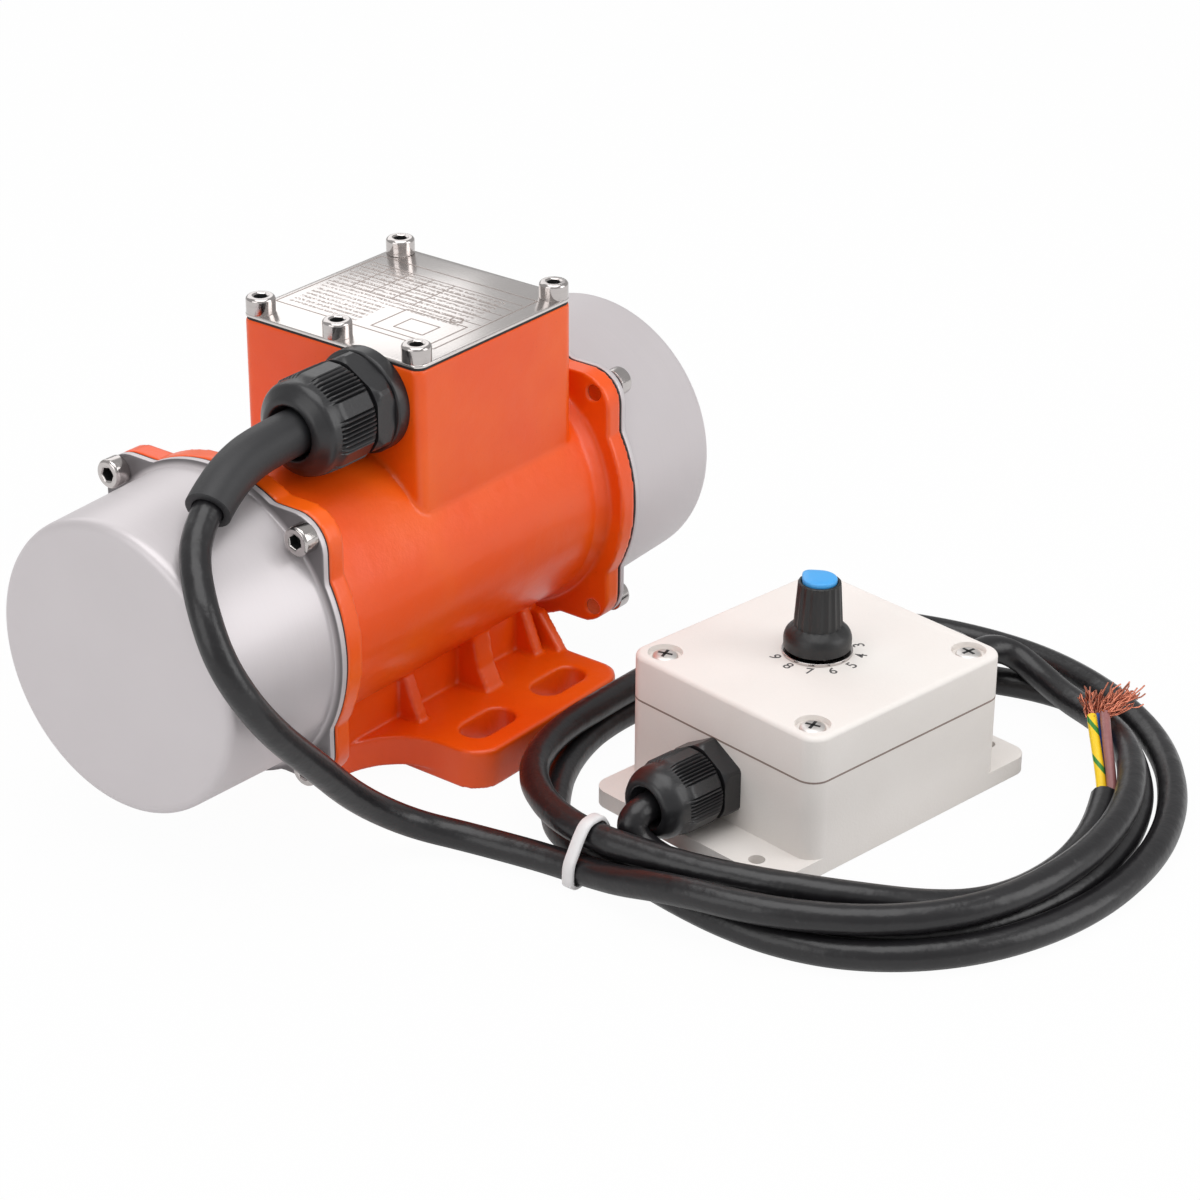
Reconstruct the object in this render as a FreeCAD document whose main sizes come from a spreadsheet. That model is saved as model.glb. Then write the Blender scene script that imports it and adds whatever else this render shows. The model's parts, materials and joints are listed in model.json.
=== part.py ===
import FreeCAD, Part
import math
import os
import Sketcher
from FreeCAD import Placement, Rotation, Vector

# Vibration motor with its speed controller, millimetres.
# X is the shaft axis with the gland end at -X, Z is up from the floor,
# and the origin is the centre of the four foot slots on the floor.

doc = FreeCAD.newDocument("VibrationMotor")
sheet = doc.addObject("Spreadsheet::Sheet", "Sizes")

# Every driving size, written once.
SIZES = {
    # fits and clearances
    "fit_gap": 0.02,
    "turn_gap": 0.05,
    "loose_gap": 0.3,
    # casting
    "shaft_height": 47.7,
    "body_offset": 13.2,
    "barrel_rad": 31.6,
    "barrel_wall": 4.0,
    "flange_half": 50.9,
    "flange_thick": 4.8,
    "flange_rad": 36.8,
    "ear_half": 32.3,
    "ear_round": 8.0,
    "ear_screw": 27.9,
    "band_long": 3.5,
    "band_rise": 1.4,
    "box_half_long": 27.2,
    "box_half_wide": 26.4,
    "box_rise": 52.1,
    "box_wall": 3.4,
    "floor_rise": 32.2,
    "box_round": 2.5,
    "box_screw_in": 3.1,
    "box_screw_side": 3.3,
    "boss_side": 6.7,
    "boss_mid_half": 3.0,
    "foot_half_long": 27.3,
    "foot_half_wide": 42.8,
    "foot_thick": 9.8,
    "foot_round": 7.0,
    "slot_x": 13.1,
    "slot_y": 33.0,
    "slot_long": 16.0,
    "slot_wide": 8.0,
    "relief_deep": 2.0,
    "relief_half": 19.0,
    "web_half": 15.0,
    "shelf_round": 17.0,
    "rib_near": 22.0,
    "rib_far": 22.5,
    "rib_thick": 3.3,
    "rib_foot": 21.5,
    "rib_tip": 16.7,
    "mid_rib_thick": 6.0,
    "mid_rib_foot": 24.4,
    "mid_rib_tip": 20.0,
    "end_wall_thick": 3.0,
    # covers
    "gasket_thick": 0.5,
    "cover_lip": 1.6,
    "cover_long": 34.4,
    "cover_rad": 35.0,
    "cover_end_rad": 33.9,
    "cover_wall": 1.8,
    "cover_round": 4.6,
    # terminal lid
    "lid_gasket": 0.6,
    "lid_plate": 0.8,
    # terminal block
    "block_half": 10.0,
    "block_wide": 12.0,
    "block_high": 10.0,
    "block_x": 4.0,
    "block_y": 13.0,
    "block_pitch": 6.5,
    "block_well": 2.4,
    # socket head screws
    "screw_rad": 2.0,
    "screw_hole": 2.2,
    "head_rad": 3.4,
    "head_high": 3.9,
    "key_rad": 1.75,
    "key_deep": 2.2,
    "cover_grip": 6.6,
    "lid_grip": 9.0,
    "shield_screw_rad": 1.5,
    "shield_head_rad": 2.75,
    "shield_grip": 3.6,
    # bearing shields and bearings
    "seat_step": 1.6,
    "seat_back": 6.0,
    "shield_plate": 5.0,
    "hub_rad": 20.0,
    "hub_long": 13.9,
    "hub_hole": 8.0,
    "bearing_step": 2.0,
    "bearing_long": 10.0,
    "bearing_rad": 16.0,
    "bearing_bore": 6.0,
    "outer_race": 13.3,
    "inner_race": 8.7,
    "ball_ring": 11.0,
    "shaft_rad": 7.0,
    "shoulder_rad": 7.5,
    "shaft_clear": 3.5,
    "shaft_thread": 1.6,
    # stator and rotor
    "stack_bore": 15.0,
    "slot_count": 12,
    "stator_slot_in": 17.0,
    "stator_slot_out": 23.0,
    "stator_slot_wide": 4.0,
    "winding_long": 10.0,
    "winding_clear": 2.0,
    "winding_inset": 1.6,
    "winding_gap": 0.2,
    "air_gap": 0.3,
    "cage_rad": 14.0,
    "cage_long": 4.0,
    # weights
    "weight_rad": 27.0,
    "weight_start": 2.6,
    "weight_space": 1.5,
    "weight_hub": 10.0,
    "clamp_half": 7.0,
    "clamp_high": 15.0,
    "clamp_bolt": 11.0,
    "clamp_slit": 1.2,
    "washer_rad": 9.0,
    "washer_thick": 1.6,
    "nut_rad": 10.4,
    "nut_high": 5.5,
    # motor gland, sleeve and cord
    "gland_y": -11.5,
    "gland_rise": 42.6,
    "gland_thread": 8.0,
    "gland_reach": 6.5,
    "gland_flange": 12.1,
    "gland_flange_long": 3.6,
    "gland_hex": 12.6,
    "gland_hex_long": 5.7,
    "gland_nut": 11.9,
    "gland_nut_long": 11.6,
    "gland_dome": 5.0,
    "gland_mouth": 5.7,
    "sleeve_rad": 5.2,
    "cord_rad": 3.4,
    # controller case
    "case_x": 23.72,
    "case_y": -99.01,
    "case_turn": -9.02,
    "case_half_long": 31.3,
    "case_half_wide": 29.0,
    "case_high": 34.5,
    "case_seam": 23.4,
    "case_wall": 2.3,
    "case_round": 4.5,
    "lug_half": 42.5,
    "lug_thick": 4.2,
    "lug_hole_x": 38.3,
    "lug_hole_y": 19.5,
    "lug_hole_rad": 1.9,
    "lid_screw_x": 25.5,
    "lid_screw_y": 22.8,
    "lid_screw_rad": 1.4,
    "lid_recess": 4.0,
    "lid_recess_deep": 1.4,
    "lid_head_rad": 3.0,
    "lid_head_high": 1.2,
    "lid_screw_long": 16.0,
    "cross_half": 2.0,
    "cross_wide": 0.8,
    "lid_post_rad": 3.6,
    # controller glands
    "small_y": 1.2,
    "small_z": 13.8,
    "small_thread": 6.1,
    "small_reach": 7.5,
    "small_hex": 9.5,
    "small_hex_long": 4.9,
    "small_nut": 9.2,
    "small_nut_long": 9.8,
    "small_dome": 6.0,
    "small_mouth": 6.2,
    "locknut_rad": 8.6,
    "locknut_thick": 3.0,
    # speed knob
    "pot_rad": 8.2,
    "pot_high": 9.0,
    "pot_bush": 3.5,
    "pot_bush_long": 5.6,
    "pot_shaft": 3.0,
    "pot_shaft_long": 9.6,
    "pot_washer": 8.1,
    "pot_washer_thick": 0.8,
    "pot_nut": 6.0,
    "pot_nut_high": 1.7,
    "knob_lift": 1.8,
    "knob_skirt": 7.7,
    "knob_skirt_high": 3.5,
    "knob_neck": 5.6,
    "knob_grip": 4.9,
    "knob_high": 15.8,
    "knob_hollow": 6.6,
    "knob_hollow_high": 2.2,
    "cap_rad": 4.0,
    "cap_sunk": 1.2,
    "cap_high": 2.3,
    # circuit board
    "board_half_long": 25.2,
    "board_half_wide": 18.0,
    "board_lift": 3.0,
    "board_thick": 1.6,
    "sink_long": 16.0,
    "sink_wide": 9.0,
    "sink_high": 12.0,
    "sink_gap": 1.1,
    "capacitor_long": 15.0,
    "capacitor_wide": 8.0,
    "capacitor_high": 11.0,
    "row_long": 30.0,
    "row_wide": 8.0,
    "row_high": 10.0,
    "row_well": 1.8,
    # cord on the floor
    "coil_high": 12.4,
    "coil_round": 3.0,
    "tie_wide": 4.4,
    "tie_thick": 1.2,
    "core_rad": 1.15,
    "strand_rad": 0.7,
}
for row, (name, number) in enumerate(SIZES.items(), 1):
    sheet.set("A%d" % row, name)
    sheet.set("B%d" % row, str(number))
    sheet.setAlias("B%d" % row, name)
doc.recompute()


class Size:
    """A size known as a number and as the sheet expression that gives it."""

    def __init__(self, number, text):
        self.number = number
        self.text = text

    def __add__(self, other):
        return joined(self, "+", other)

    def __radd__(self, other):
        return joined(other, "+", self)

    def __sub__(self, other):
        return joined(self, "-", other)

    def __rsub__(self, other):
        return joined(other, "-", self)

    def __mul__(self, other):
        return joined(self, "*", other)

    def __rmul__(self, other):
        return joined(other, "*", self)

    def __truediv__(self, other):
        return joined(self, "/", other)

    def __neg__(self):
        return joined(0, "-", self)

    def __float__(self):
        return float(self.number)


def size(value):
    return value if isinstance(value, Size) else Size(float(value), "(%.6f)" % value)


def joined(first, sign, second):
    first = size(first)
    second = size(second)
    if sign == "+":
        number = first.number + second.number
    elif sign == "-":
        number = first.number - second.number
    elif sign == "*":
        number = first.number * second.number
    else:
        number = first.number / second.number
    return Size(number, "(%s %s %s)" % (first.text, sign, second.text))


class Book:
    """Reads the sheet: S.barrel_rad is the size of that name."""

    def __getattr__(self, name):
        return Size(float(sheet.get(name)), "Sizes." + name)


S = Book()
pieces = []
UP = Rotation()
ALONG = Rotation(Vector(0, 1, 0), 90)
ACROSS = Rotation(Vector(1, 0, 0), -90)


def bind(item, prop, value):
    if isinstance(value, Size):
        item.setExpression(prop, value.text)
    else:
        setattr(item, prop, value)


def place(item, x=0, y=0, z=0, turn=UP):
    item.Placement = Placement(Vector(float(size(x)), float(size(y)), float(size(z))), turn)
    for letter, value in zip("xyz", (x, y, z)):
        if isinstance(value, Size):
            item.setExpression("Placement.Base." + letter, value.text)
    return item


def keep(label, item):
    item.Label = label
    pieces.append(item)
    return item


def box(x, y, z, long, wide, high):
    """A box by its low corner and its three sides."""
    item = doc.addObject("Part::Box", "box")
    bind(item, "Length", size(long))
    bind(item, "Width", size(wide))
    bind(item, "Height", size(high))
    return place(item, x, y, z)


def slab(half_x, half_y, low, high):
    """A box centred on the Z axis between two heights."""
    return box(-size(half_x), -size(half_y), low, 2 * size(half_x), 2 * size(half_y), size(high) - low)


def rod(radius, length, x=0, y=0, z=0, turn=UP):
    item = doc.addObject("Part::Cylinder", "rod")
    bind(item, "Radius", size(radius))
    bind(item, "Height", size(length))
    return place(item, x, y, z, turn)


def prism(sides, radius, length, x=0, y=0, z=0, turn=UP):
    item = doc.addObject("Part::Prism", "prism")
    item.Polygon = sides
    bind(item, "Circumradius", size(radius))
    bind(item, "Height", size(length))
    return place(item, x, y, z, turn)


def fuse(*items):
    item = doc.addObject("Part::MultiFuse", "fuse")
    item.Shapes = list(items)
    item.Refine = True
    return item


def cut(base, *tools):
    item = doc.addObject("Part::Cut", "cut")
    item.Base = base
    item.Tool = tools[0] if len(tools) == 1 else fuse(*tools)
    return item


def group(items):
    item = doc.addObject("Part::Compound", "group")
    item.Links = list(items)
    return item


def copies(master, placements):
    """The same piece at several places."""
    links = []
    for spot in placements:
        link = doc.addObject("App::Link", "copy")
        link.LinkedObject = master
        link.Placement = spot
        links.append(link)
    return group(links)


def soften(base, radius, wanted):
    """Round the edges that the test picks."""
    doc.recompute()
    item = doc.addObject("Part::Fillet", "soften")
    item.Base = base
    chosen = []
    for number, edge in enumerate(base.Shape.Edges, 1):
        if wanted(edge):
            chosen.append((number, float(radius), float(radius)))
    item.Edges = chosen
    return item


def upright(edge):
    """An edge that runs along Z."""
    low = edge.BoundBox
    return low.ZLength > 0.5 and low.XLength < 1e-6 and low.YLength < 1e-6


def lengthwise(edge):
    """An edge that runs along X."""
    low = edge.BoundBox
    return low.XLength > 0.1 and low.ZLength < 1e-6 and low.YLength < 1e-6


def sketch(body, role, points):
    """A closed outline of straight sides on one of the body's own planes."""
    drawn = body.newObject("Sketcher::SketchObject", "outline")
    plane = [item for item in body.Origin.OriginFeatures if item.Role == role][0]
    drawn.AttachmentSupport = (plane, [""])
    drawn.MapMode = "FlatFace"
    count = len(points)
    spots = [Vector(float(size(x)), float(size(y)), 0) for x, y in points]
    for i in range(count):
        drawn.addGeometry(Part.LineSegment(spots[i], spots[(i + 1) % count]), False)
    for i in range(count):
        drawn.addConstraint(Sketcher.Constraint("Coincident", i, 2, (i + 1) % count, 1))
    for i, (x, y) in enumerate(points):
        for kind, value in (("DistanceX", size(x)), ("DistanceY", size(y))):
            rule = Sketcher.Constraint(kind, -1, 1, i, 1, float(value) or 1e-9)
            number = drawn.addConstraint(rule)
            drawn.setExpression("Constraints[%d]" % number, value.text)
    return drawn


def turned(role, axis, points):
    """A body turned from a half outline about an axis of its sketch."""
    body = doc.addObject("PartDesign::Body", "turned")
    drawn = sketch(body, role, points)
    feature = body.newObject("PartDesign::Revolution", "revolution")
    feature.Profile = drawn
    feature.ReferenceAxis = (drawn, [axis])
    feature.Angle = 360
    return body


def lathe(points):
    """Turned about the shaft: points are (distance from mid body, radius)."""
    return place(turned("XY_Plane", "H_Axis", points), mid_x, 0, S.shaft_height)


def pillar(points, x=0, y=0, z=0, turn=UP):
    """Turned about an upright line: points are (radius, height)."""
    return place(turned("XZ_Plane", "V_Axis", points), x, y, z, turn)


def pressed(role, points, length):
    """A body padded from an outline along its plane's normal."""
    body = doc.addObject("PartDesign::Body", "pressed")
    feature = body.newObject("PartDesign::Pad", "pad")
    feature.Profile = sketch(body, role, points)
    bind(feature, "Length", size(length))
    return body


def mirrored(end, points):
    """The outline at the near (-1) or far (+1) end of the body."""
    return [(end * size(x), radius) for x, radius in points]


def ring(half, other_half, inner, outer):
    """A rectangle of a lathe outline."""
    return [(half, inner), (other_half, inner), (other_half, outer), (half, outer)]


mid_x = -S.body_offset
axis_z = S.shaft_height
box_top = S.shaft_height + S.box_rise
box_floor = S.shaft_height + S.floor_rise
gland_z = S.shaft_height + S.gland_rise
plate_screw_x = S.box_half_long - S.box_screw_in
plate_screw_y = S.box_half_wide - S.box_screw_side
bore_rad = S.barrel_rad - S.barrel_wall
seat_rad = S.barrel_rad - S.seat_step
winding_rad = bore_rad - S.winding_inset
front_half = S.flange_half + S.gasket_thick + S.cover_lip
cover_half = S.flange_half + S.cover_long
seat_half = S.flange_half - S.seat_back
hub_half = seat_half - S.hub_long
bearing_half = hub_half + S.bearing_step
winding_half = hub_half - S.winding_clear
stack_half = winding_half - S.winding_long
cage_half = stack_half + S.cage_long
shaft_half = cover_half - S.cover_wall - S.shaft_clear
fixed_half = S.flange_half + S.weight_start
nut_end_half = shaft_half - S.shaft_thread
washer_half = nut_end_half - S.nut_high - S.washer_thick
weight_thick = (washer_half - S.loose_gap - S.weight_space - fixed_half) / 2
outer_half = fixed_half + weight_thick + S.weight_space
cover_foot = S.flange_half + S.gasket_thick


def on_shaft(half, long, radius):
    """A rod on the shaft line from a distance towards +X."""
    return rod(radius, long, mid_x + half, 0, axis_z, ALONG)


def eared(low, long, gap=0.0):
    """Round plate with four screw ears, from low towards +X."""
    half = S.ear_half - gap
    square = box(mid_x + low, -half, axis_z - half, long, 2 * half, 2 * half)
    square = soften(square, S.ear_round, lengthwise)
    return fuse(square, on_shaft(low, long, S.flange_rad - gap))


def end_low(end, half, long):
    """Low X of a slice that starts at a distance from mid body and goes outward."""
    return half if end > 0 else -(half + long)


def ear_holes(end, half, long, radius):
    holes = []
    for y in (-1, 1):
        for z in (-1, 1):
            low = mid_x + end_low(end, half, long)
            holes.append(rod(radius, long, low, y * S.ear_screw, axis_z + z * S.ear_screw, ALONG))
    return holes


# ---- casting: barrel, flanges, terminal box, foot, web and ribs ----
solids = [on_shaft(-S.flange_half, 2 * S.flange_half, S.barrel_rad)]
flange_in = S.flange_half - S.flange_thick
for end in (-1, 1):
    solids.append(eared(end_low(end, flange_in, S.flange_thick), S.flange_thick))
    band = mirrored(end, [(flange_in - S.band_long, S.barrel_rad - 1), (flange_in + 1, S.barrel_rad - 1),
                          (flange_in + 1, S.barrel_rad + S.band_rise), (flange_in, S.barrel_rad + S.band_rise),
                          (flange_in - S.band_long, S.barrel_rad)])
    solids.append(lathe(band))
terminal_box = slab(S.box_half_long, S.box_half_wide, S.shaft_height + 10, box_top)
solids.append(soften(terminal_box, S.box_round, upright))
plate = slab(S.foot_half_long, S.foot_half_wide, 0, S.foot_thick)
solids.append(soften(plate, S.foot_round, upright))
web_low = -S.foot_half_long - S.shelf_round
solids.append(box(web_low, -S.web_half, S.relief_deep, S.foot_half_long - web_low, 2 * S.web_half,
                  S.shaft_height - S.barrel_rad + 6 - S.relief_deep))
for side in (-1, 1):
    corner_low = S.web_half if side > 0 else -(S.web_half + S.shelf_round)
    corner = box(web_low, corner_low, S.relief_deep,
                 S.shelf_round + 1, S.shelf_round, S.foot_thick - S.relief_deep)
    sweep = rod(S.shelf_round, S.foot_thick, web_low, side * (S.web_half + S.shelf_round), S.relief_deep)
    solids.append(cut(corner, sweep))
    foot_top = S.foot_thick - 1
    for x, thick, base, tip in ((-S.rib_near - S.rib_thick / 2, S.rib_thick, S.rib_foot, S.rib_tip),
                                (S.rib_far - S.rib_thick, S.rib_thick, S.rib_foot, S.rib_tip)):
        outline = [(side * (S.web_half - 1), foot_top), (side * base, foot_top), (side * base, S.foot_thick),
                   (side * tip, S.shaft_height - S.barrel_rad + 5.1), (side * (S.web_half - 1),
                                                                   S.shaft_height - S.barrel_rad + 5.1)]
        solids.append(place(pressed("YZ_Plane", outline, thick), x))
    outline = [(side * (S.web_half - 1), foot_top), (side * S.mid_rib_foot, foot_top),
               (side * S.mid_rib_foot, S.foot_thick), (side * (S.mid_rib_tip + 1.6), S.foot_thick + 5.5),
               (side * (S.mid_rib_tip + 0.6), S.foot_thick + 10.5),
               (side * S.mid_rib_tip, S.shaft_height - S.barrel_rad + 9),
               (side * (S.web_half - 1), S.shaft_height - S.barrel_rad + 9)]
    solids.append(place(pressed("YZ_Plane", outline, S.mid_rib_thick), 0.5 - S.mid_rib_thick / 2))
    outline = [(side * (S.web_half - 1), foot_top), (side * S.mid_rib_foot, foot_top),
               (side * S.mid_rib_foot, S.foot_thick + 0.5), (side * (S.rib_tip + 1.5), S.foot_thick + 8.8),
               (side * (S.web_half - 1), S.foot_thick + 8.8)]
    solids.append(place(pressed("YZ_Plane", outline, S.end_wall_thick),
                        S.foot_half_long - S.end_wall_thick))

seat_long = S.flange_half - seat_half + 1
cavity_x = S.box_half_long - S.box_wall
cavity_y = S.box_half_wide - S.box_wall
cavity = slab(cavity_x, cavity_y, box_floor, box_top + 1)
lid_screws_at = [(-plate_screw_x, -plate_screw_y), (-plate_screw_x, plate_screw_y),
                 (plate_screw_x, -plate_screw_y), (plate_screw_x, plate_screw_y),
                  (-plate_screw_x, 0 * S.fit_gap)]
bosses = []
for x in (-1, 1):
    for y in (-1, 1):
        low_x = cavity_x - S.boss_side + S.box_wall if x > 0 else -cavity_x
        low_y = cavity_y - S.boss_side + S.box_wall if y > 0 else -cavity_y
        bosses.append(box(low_x, low_y, box_floor, S.boss_side - S.box_wall, S.boss_side - S.box_wall,
                          box_top - box_floor))
bosses.append(box(-cavity_x, -S.boss_mid_half, box_floor, S.boss_side - S.box_wall, 2 * S.boss_mid_half,
                  box_top - box_floor))
tools = [on_shaft(-S.flange_half - 1, 2 * S.flange_half + 2, bore_rad), cut(cavity, *bosses)]
for end in (-1, 1):
    tools.append(on_shaft(end_low(end, seat_half, seat_long), seat_long, seat_rad))
    tools += ear_holes(end, flange_in - 1, S.flange_thick + 2, S.screw_rad + S.fit_gap)
slot_reach = S.slot_long / 2 - S.slot_wide / 2
for x in (-1, 1):
    for y in (-1, 1):
        slot = fuse(box(x * S.slot_x - slot_reach, y * S.slot_y - S.slot_wide / 2, -1,
                        2 * slot_reach, S.slot_wide, S.foot_thick + 2),
                    rod(S.slot_wide / 2, S.foot_thick + 2, x * S.slot_x - slot_reach, y * S.slot_y, -1),
                    rod(S.slot_wide / 2, S.foot_thick + 2, x * S.slot_x + slot_reach, y * S.slot_y, -1))
        tools.append(slot)
tools.append(slab(S.foot_half_long + 1, S.relief_half, -1, S.relief_deep))
for x, y in lid_screws_at:
    tools.append(rod(S.screw_rad + S.fit_gap, S.lid_grip, x, y, box_top - S.lid_grip + 0.5))
tools.append(rod(S.gland_thread + S.fit_gap, S.box_wall + 2, -S.box_half_long - 1, S.gland_y, gland_z, ALONG))
shield_angles = (90, 210, 330)
earth_x = S.box_half_long - S.box_wall - 9
tools.append(rod(S.shield_screw_rad + S.fit_gap, 3.4, earth_x, 0, box_floor - 3.2))
tools.append(rod(3.0, box_floor - axis_z - bore_rad + 4, -4, 0, axis_z + bore_rad - 2))
keep("housing", cut(fuse(*solids), *tools))


# ---- socket head screws ----
def socket_screw(radius, grip, head, high):
    """Head up, the underside of the head at the origin."""
    shank = rod(radius, grip, 0, 0, -size(grip))
    knob_part = rod(head, high)
    share = size(head) / S.head_rad
    key = prism(6, S.key_rad * share, high, 0, 0, size(high) - S.key_deep * share)
    return cut(fuse(shank, knob_part), key)


def spot(x, y, z, turn=UP):
    return Placement(Vector(float(size(x)), float(size(y)), float(size(z))), turn)


cover_screw = socket_screw(S.screw_rad, S.cover_grip, S.head_rad, S.head_high)
lid_screw = socket_screw(S.screw_rad, S.lid_grip - 1, S.head_rad, S.head_high)
shield_screw = socket_screw(S.shield_screw_rad, S.shield_grip, S.shield_head_rad, S.shield_head_rad)

# ---- end covers with their gaskets and screws ----
for end, name in ((-1, "near"), (1, "far")):
    outward = Rotation(Vector(0, 1, 0), 90 * end)
    gasket = cut(eared(end_low(end, S.flange_half, S.gasket_thick), S.gasket_thick, 0.2),
                 on_shaft(end_low(end, S.flange_half - 1, S.gasket_thick + 2), S.gasket_thick + 2,
                          S.cover_rad - S.cover_wall),
                 *ear_holes(end, S.flange_half - 1, S.gasket_thick + 2, S.screw_hole))
    keep(name + "_cover_gasket", gasket)
    shell = lathe(mirrored(end, [(cover_foot, S.cover_rad - S.cover_wall), (cover_foot, S.cover_rad),
                                 (cover_half, S.cover_end_rad), (cover_half, 0),
                                 (cover_half - S.cover_wall, 0),
                                 (cover_half - S.cover_wall, S.cover_end_rad - S.cover_wall - 0.02)]))
    rim = mid_x + end * cover_half

    def at_rim(edge, rim=float(rim)):
        low = edge.BoundBox
        return abs(low.XMin - rim) < 0.01 and abs(low.XMax - rim) < 0.01 and low.ZLength > 20

    shell = soften(shell, S.cover_round, at_rim)
    lip = cut(eared(end_low(end, cover_foot, S.cover_lip), S.cover_lip),
              on_shaft(end_low(end, cover_foot - 1, S.cover_lip + 2), S.cover_lip + 2, S.cover_rad - 0.5),
              *ear_holes(end, cover_foot - 1, S.cover_lip + 2, S.screw_hole))
    keep(name + "_cover", fuse(shell, lip))
    places = []
    for y in (-1, 1):
        for z in (-1, 1):
            places.append(spot(mid_x + end * front_half, y * S.ear_screw, axis_z + z * S.ear_screw, outward))
    keep(name + "_cover_screws", copies(cover_screw, places))

# ---- bearing shields, their screws and the bearings ----
shield_top = seat_half + S.shield_plate
bearing_end = bearing_half + S.bearing_long
shield_spots = []
for end, name in ((-1, "near"), (1, "far")):
    outward = Rotation(Vector(0, 1, 0), 90 * end)
    profile = [(hub_half, S.bearing_rad + S.fit_gap), (hub_half, S.hub_rad), (seat_half, S.hub_rad),
               (seat_half, seat_rad - S.fit_gap), (shield_top, seat_rad - S.fit_gap),
               (shield_top, S.hub_hole), (bearing_end + S.fit_gap, S.hub_hole),
               (bearing_end + S.fit_gap, S.bearing_rad + S.fit_gap)]
    holes = []
    for angle in shield_angles:
        y = (bore_rad + S.hub_rad) / 2 * math.cos(math.radians(angle))
        z = axis_z + (bore_rad + S.hub_rad) / 2 * math.sin(math.radians(angle))
        low = mid_x + end_low(end, seat_half - 1, S.shield_plate + 2)
        holes.append(rod(S.shield_screw_rad + S.fit_gap, S.shield_plate + 2, low, y, z, ALONG))
        shield_spots.append(spot(mid_x + end * shield_top, y, z, outward))
    keep(name + "_bearing_shield", cut(lathe(mirrored(end, profile)), *holes))
keep("shield_screws", copies(shield_screw, shield_spots))

outer_rings = []
inner_rings = []
balls = []
ball_rad = (S.outer_race - S.inner_race) / 2 - S.fit_gap
for end in (-1, 1):
    outer_rings.append(lathe(mirrored(end, ring(bearing_half, bearing_end, S.outer_race, S.bearing_rad))))
    inner_rings.append(lathe(mirrored(end, ring(bearing_half, bearing_end, S.bearing_bore + S.fit_gap,
                                                S.inner_race))))
    for number in range(8):
        angle = math.radians(45 * number + 10)
        ball = doc.addObject("Part::Sphere", "ball")
        bind(ball, "Radius", ball_rad)
        balls.append(place(ball, mid_x + end * (bearing_half + S.bearing_long / 2),
                           S.ball_ring * math.cos(angle), axis_z + S.ball_ring * math.sin(angle)))
keep("bearing_outer_rings", group(outer_rings))
keep("bearing_inner_rings", group(inner_rings))
keep("bearing_balls", group(balls))

# ---- stator ----
slots = []
bars = []
mouths = []
slot_count = int(float(S.slot_count))
bar_wide = S.stator_slot_wide - 2 * S.winding_gap
for number in range(slot_count):
    angle = 360.0 * number / slot_count
    turn = Rotation(Vector(1, 0, 0), angle)
    for items, half, low, high, wide in ((slots, stack_half + 1, S.stator_slot_in, S.stator_slot_out,
                                          S.stator_slot_wide),
                                         (mouths, stack_half + 1, S.stack_bore - 1, S.stator_slot_in + 1,
                                          S.stator_slot_wide / 2),
                                         (bars, stack_half + 2, S.stator_slot_in + S.winding_gap,
                                          S.stator_slot_out - S.winding_gap, bar_wide)):
        item = box(0, 0, 0, 2 * half, wide, high - low)
        corner = turn.multVec(Vector(0, -float(wide) / 2, float(low)))
        item.Placement = Placement(Vector(float(mid_x - half), corner.y, float(axis_z) + corner.z), turn)
        items.append(item)
stack = lathe(ring(-stack_half, stack_half, S.stack_bore, bore_rad - S.fit_gap))
keep("stator_core", cut(stack, *(slots + mouths)))
ends = [lathe(mirrored(end, ring(stack_half + S.winding_gap, winding_half, S.stator_slot_in + S.winding_gap,
                                 winding_rad))) for end in (-1, 1)]
keep("stator_windings", fuse(*(ends + bars)))

# ---- rotor ----
inner_half = bearing_half
shaft = lathe([(-shaft_half, 0), (-shaft_half, S.bearing_bore), (-inner_half, S.bearing_bore),
               (-inner_half, S.shoulder_rad), (-cage_half - 1, S.shoulder_rad), (-cage_half - 1, S.shaft_rad),
               (cage_half + 1, S.shaft_rad), (cage_half + 1, S.shoulder_rad), (inner_half, S.shoulder_rad),
               (inner_half, S.bearing_bore), (shaft_half, S.bearing_bore), (shaft_half, 0)])
keep("shaft", shaft)
core_rad = S.stack_bore - S.air_gap
keep("rotor_core", lathe(ring(-stack_half, stack_half, S.shaft_rad + S.fit_gap, core_rad)))
cages = [lathe(mirrored(end, ring(stack_half, cage_half, S.shaft_rad + 2, S.cage_rad))) for end in (-1, 1)]
keep("rotor_end_rings", group(cages))


def weight(half, gap):
    """Half disc that hangs below the shaft with a clamp block above it."""
    disc = on_shaft(half, weight_thick, S.weight_rad)
    upper = box(mid_x + half - 1, -S.weight_rad - 1, axis_z, weight_thick + 2, 2 * S.weight_rad + 2,
                S.weight_rad + 1)
    block = box(mid_x + half, -S.clamp_half, axis_z, weight_thick, 2 * S.clamp_half, S.clamp_high)
    hub = on_shaft(half, weight_thick, S.weight_hub)
    hole = on_shaft(half - 1, weight_thick + 2, S.bearing_bore + gap)
    slit = box(mid_x + half - 1, -S.clamp_slit / 2, axis_z, weight_thick + 2, S.clamp_slit, S.clamp_high + 1)
    bolt = rod(S.screw_rad + S.fit_gap, 2 * S.clamp_half + 2, mid_x + half + weight_thick / 2,
               -S.clamp_half - 1, axis_z + S.clamp_bolt, ACROSS)
    return cut(fuse(cut(disc, upper), block, hub), hole, slit, bolt)


def clamp_screw(half):
    screw = socket_screw(S.screw_rad, 2 * S.clamp_half, S.head_rad, S.head_high)
    turn = Rotation(Vector(1, 0, 0), 90)
    return copies(screw, [spot(mid_x + half + weight_thick / 2, -S.clamp_half, axis_z + S.clamp_bolt, turn)])


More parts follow.
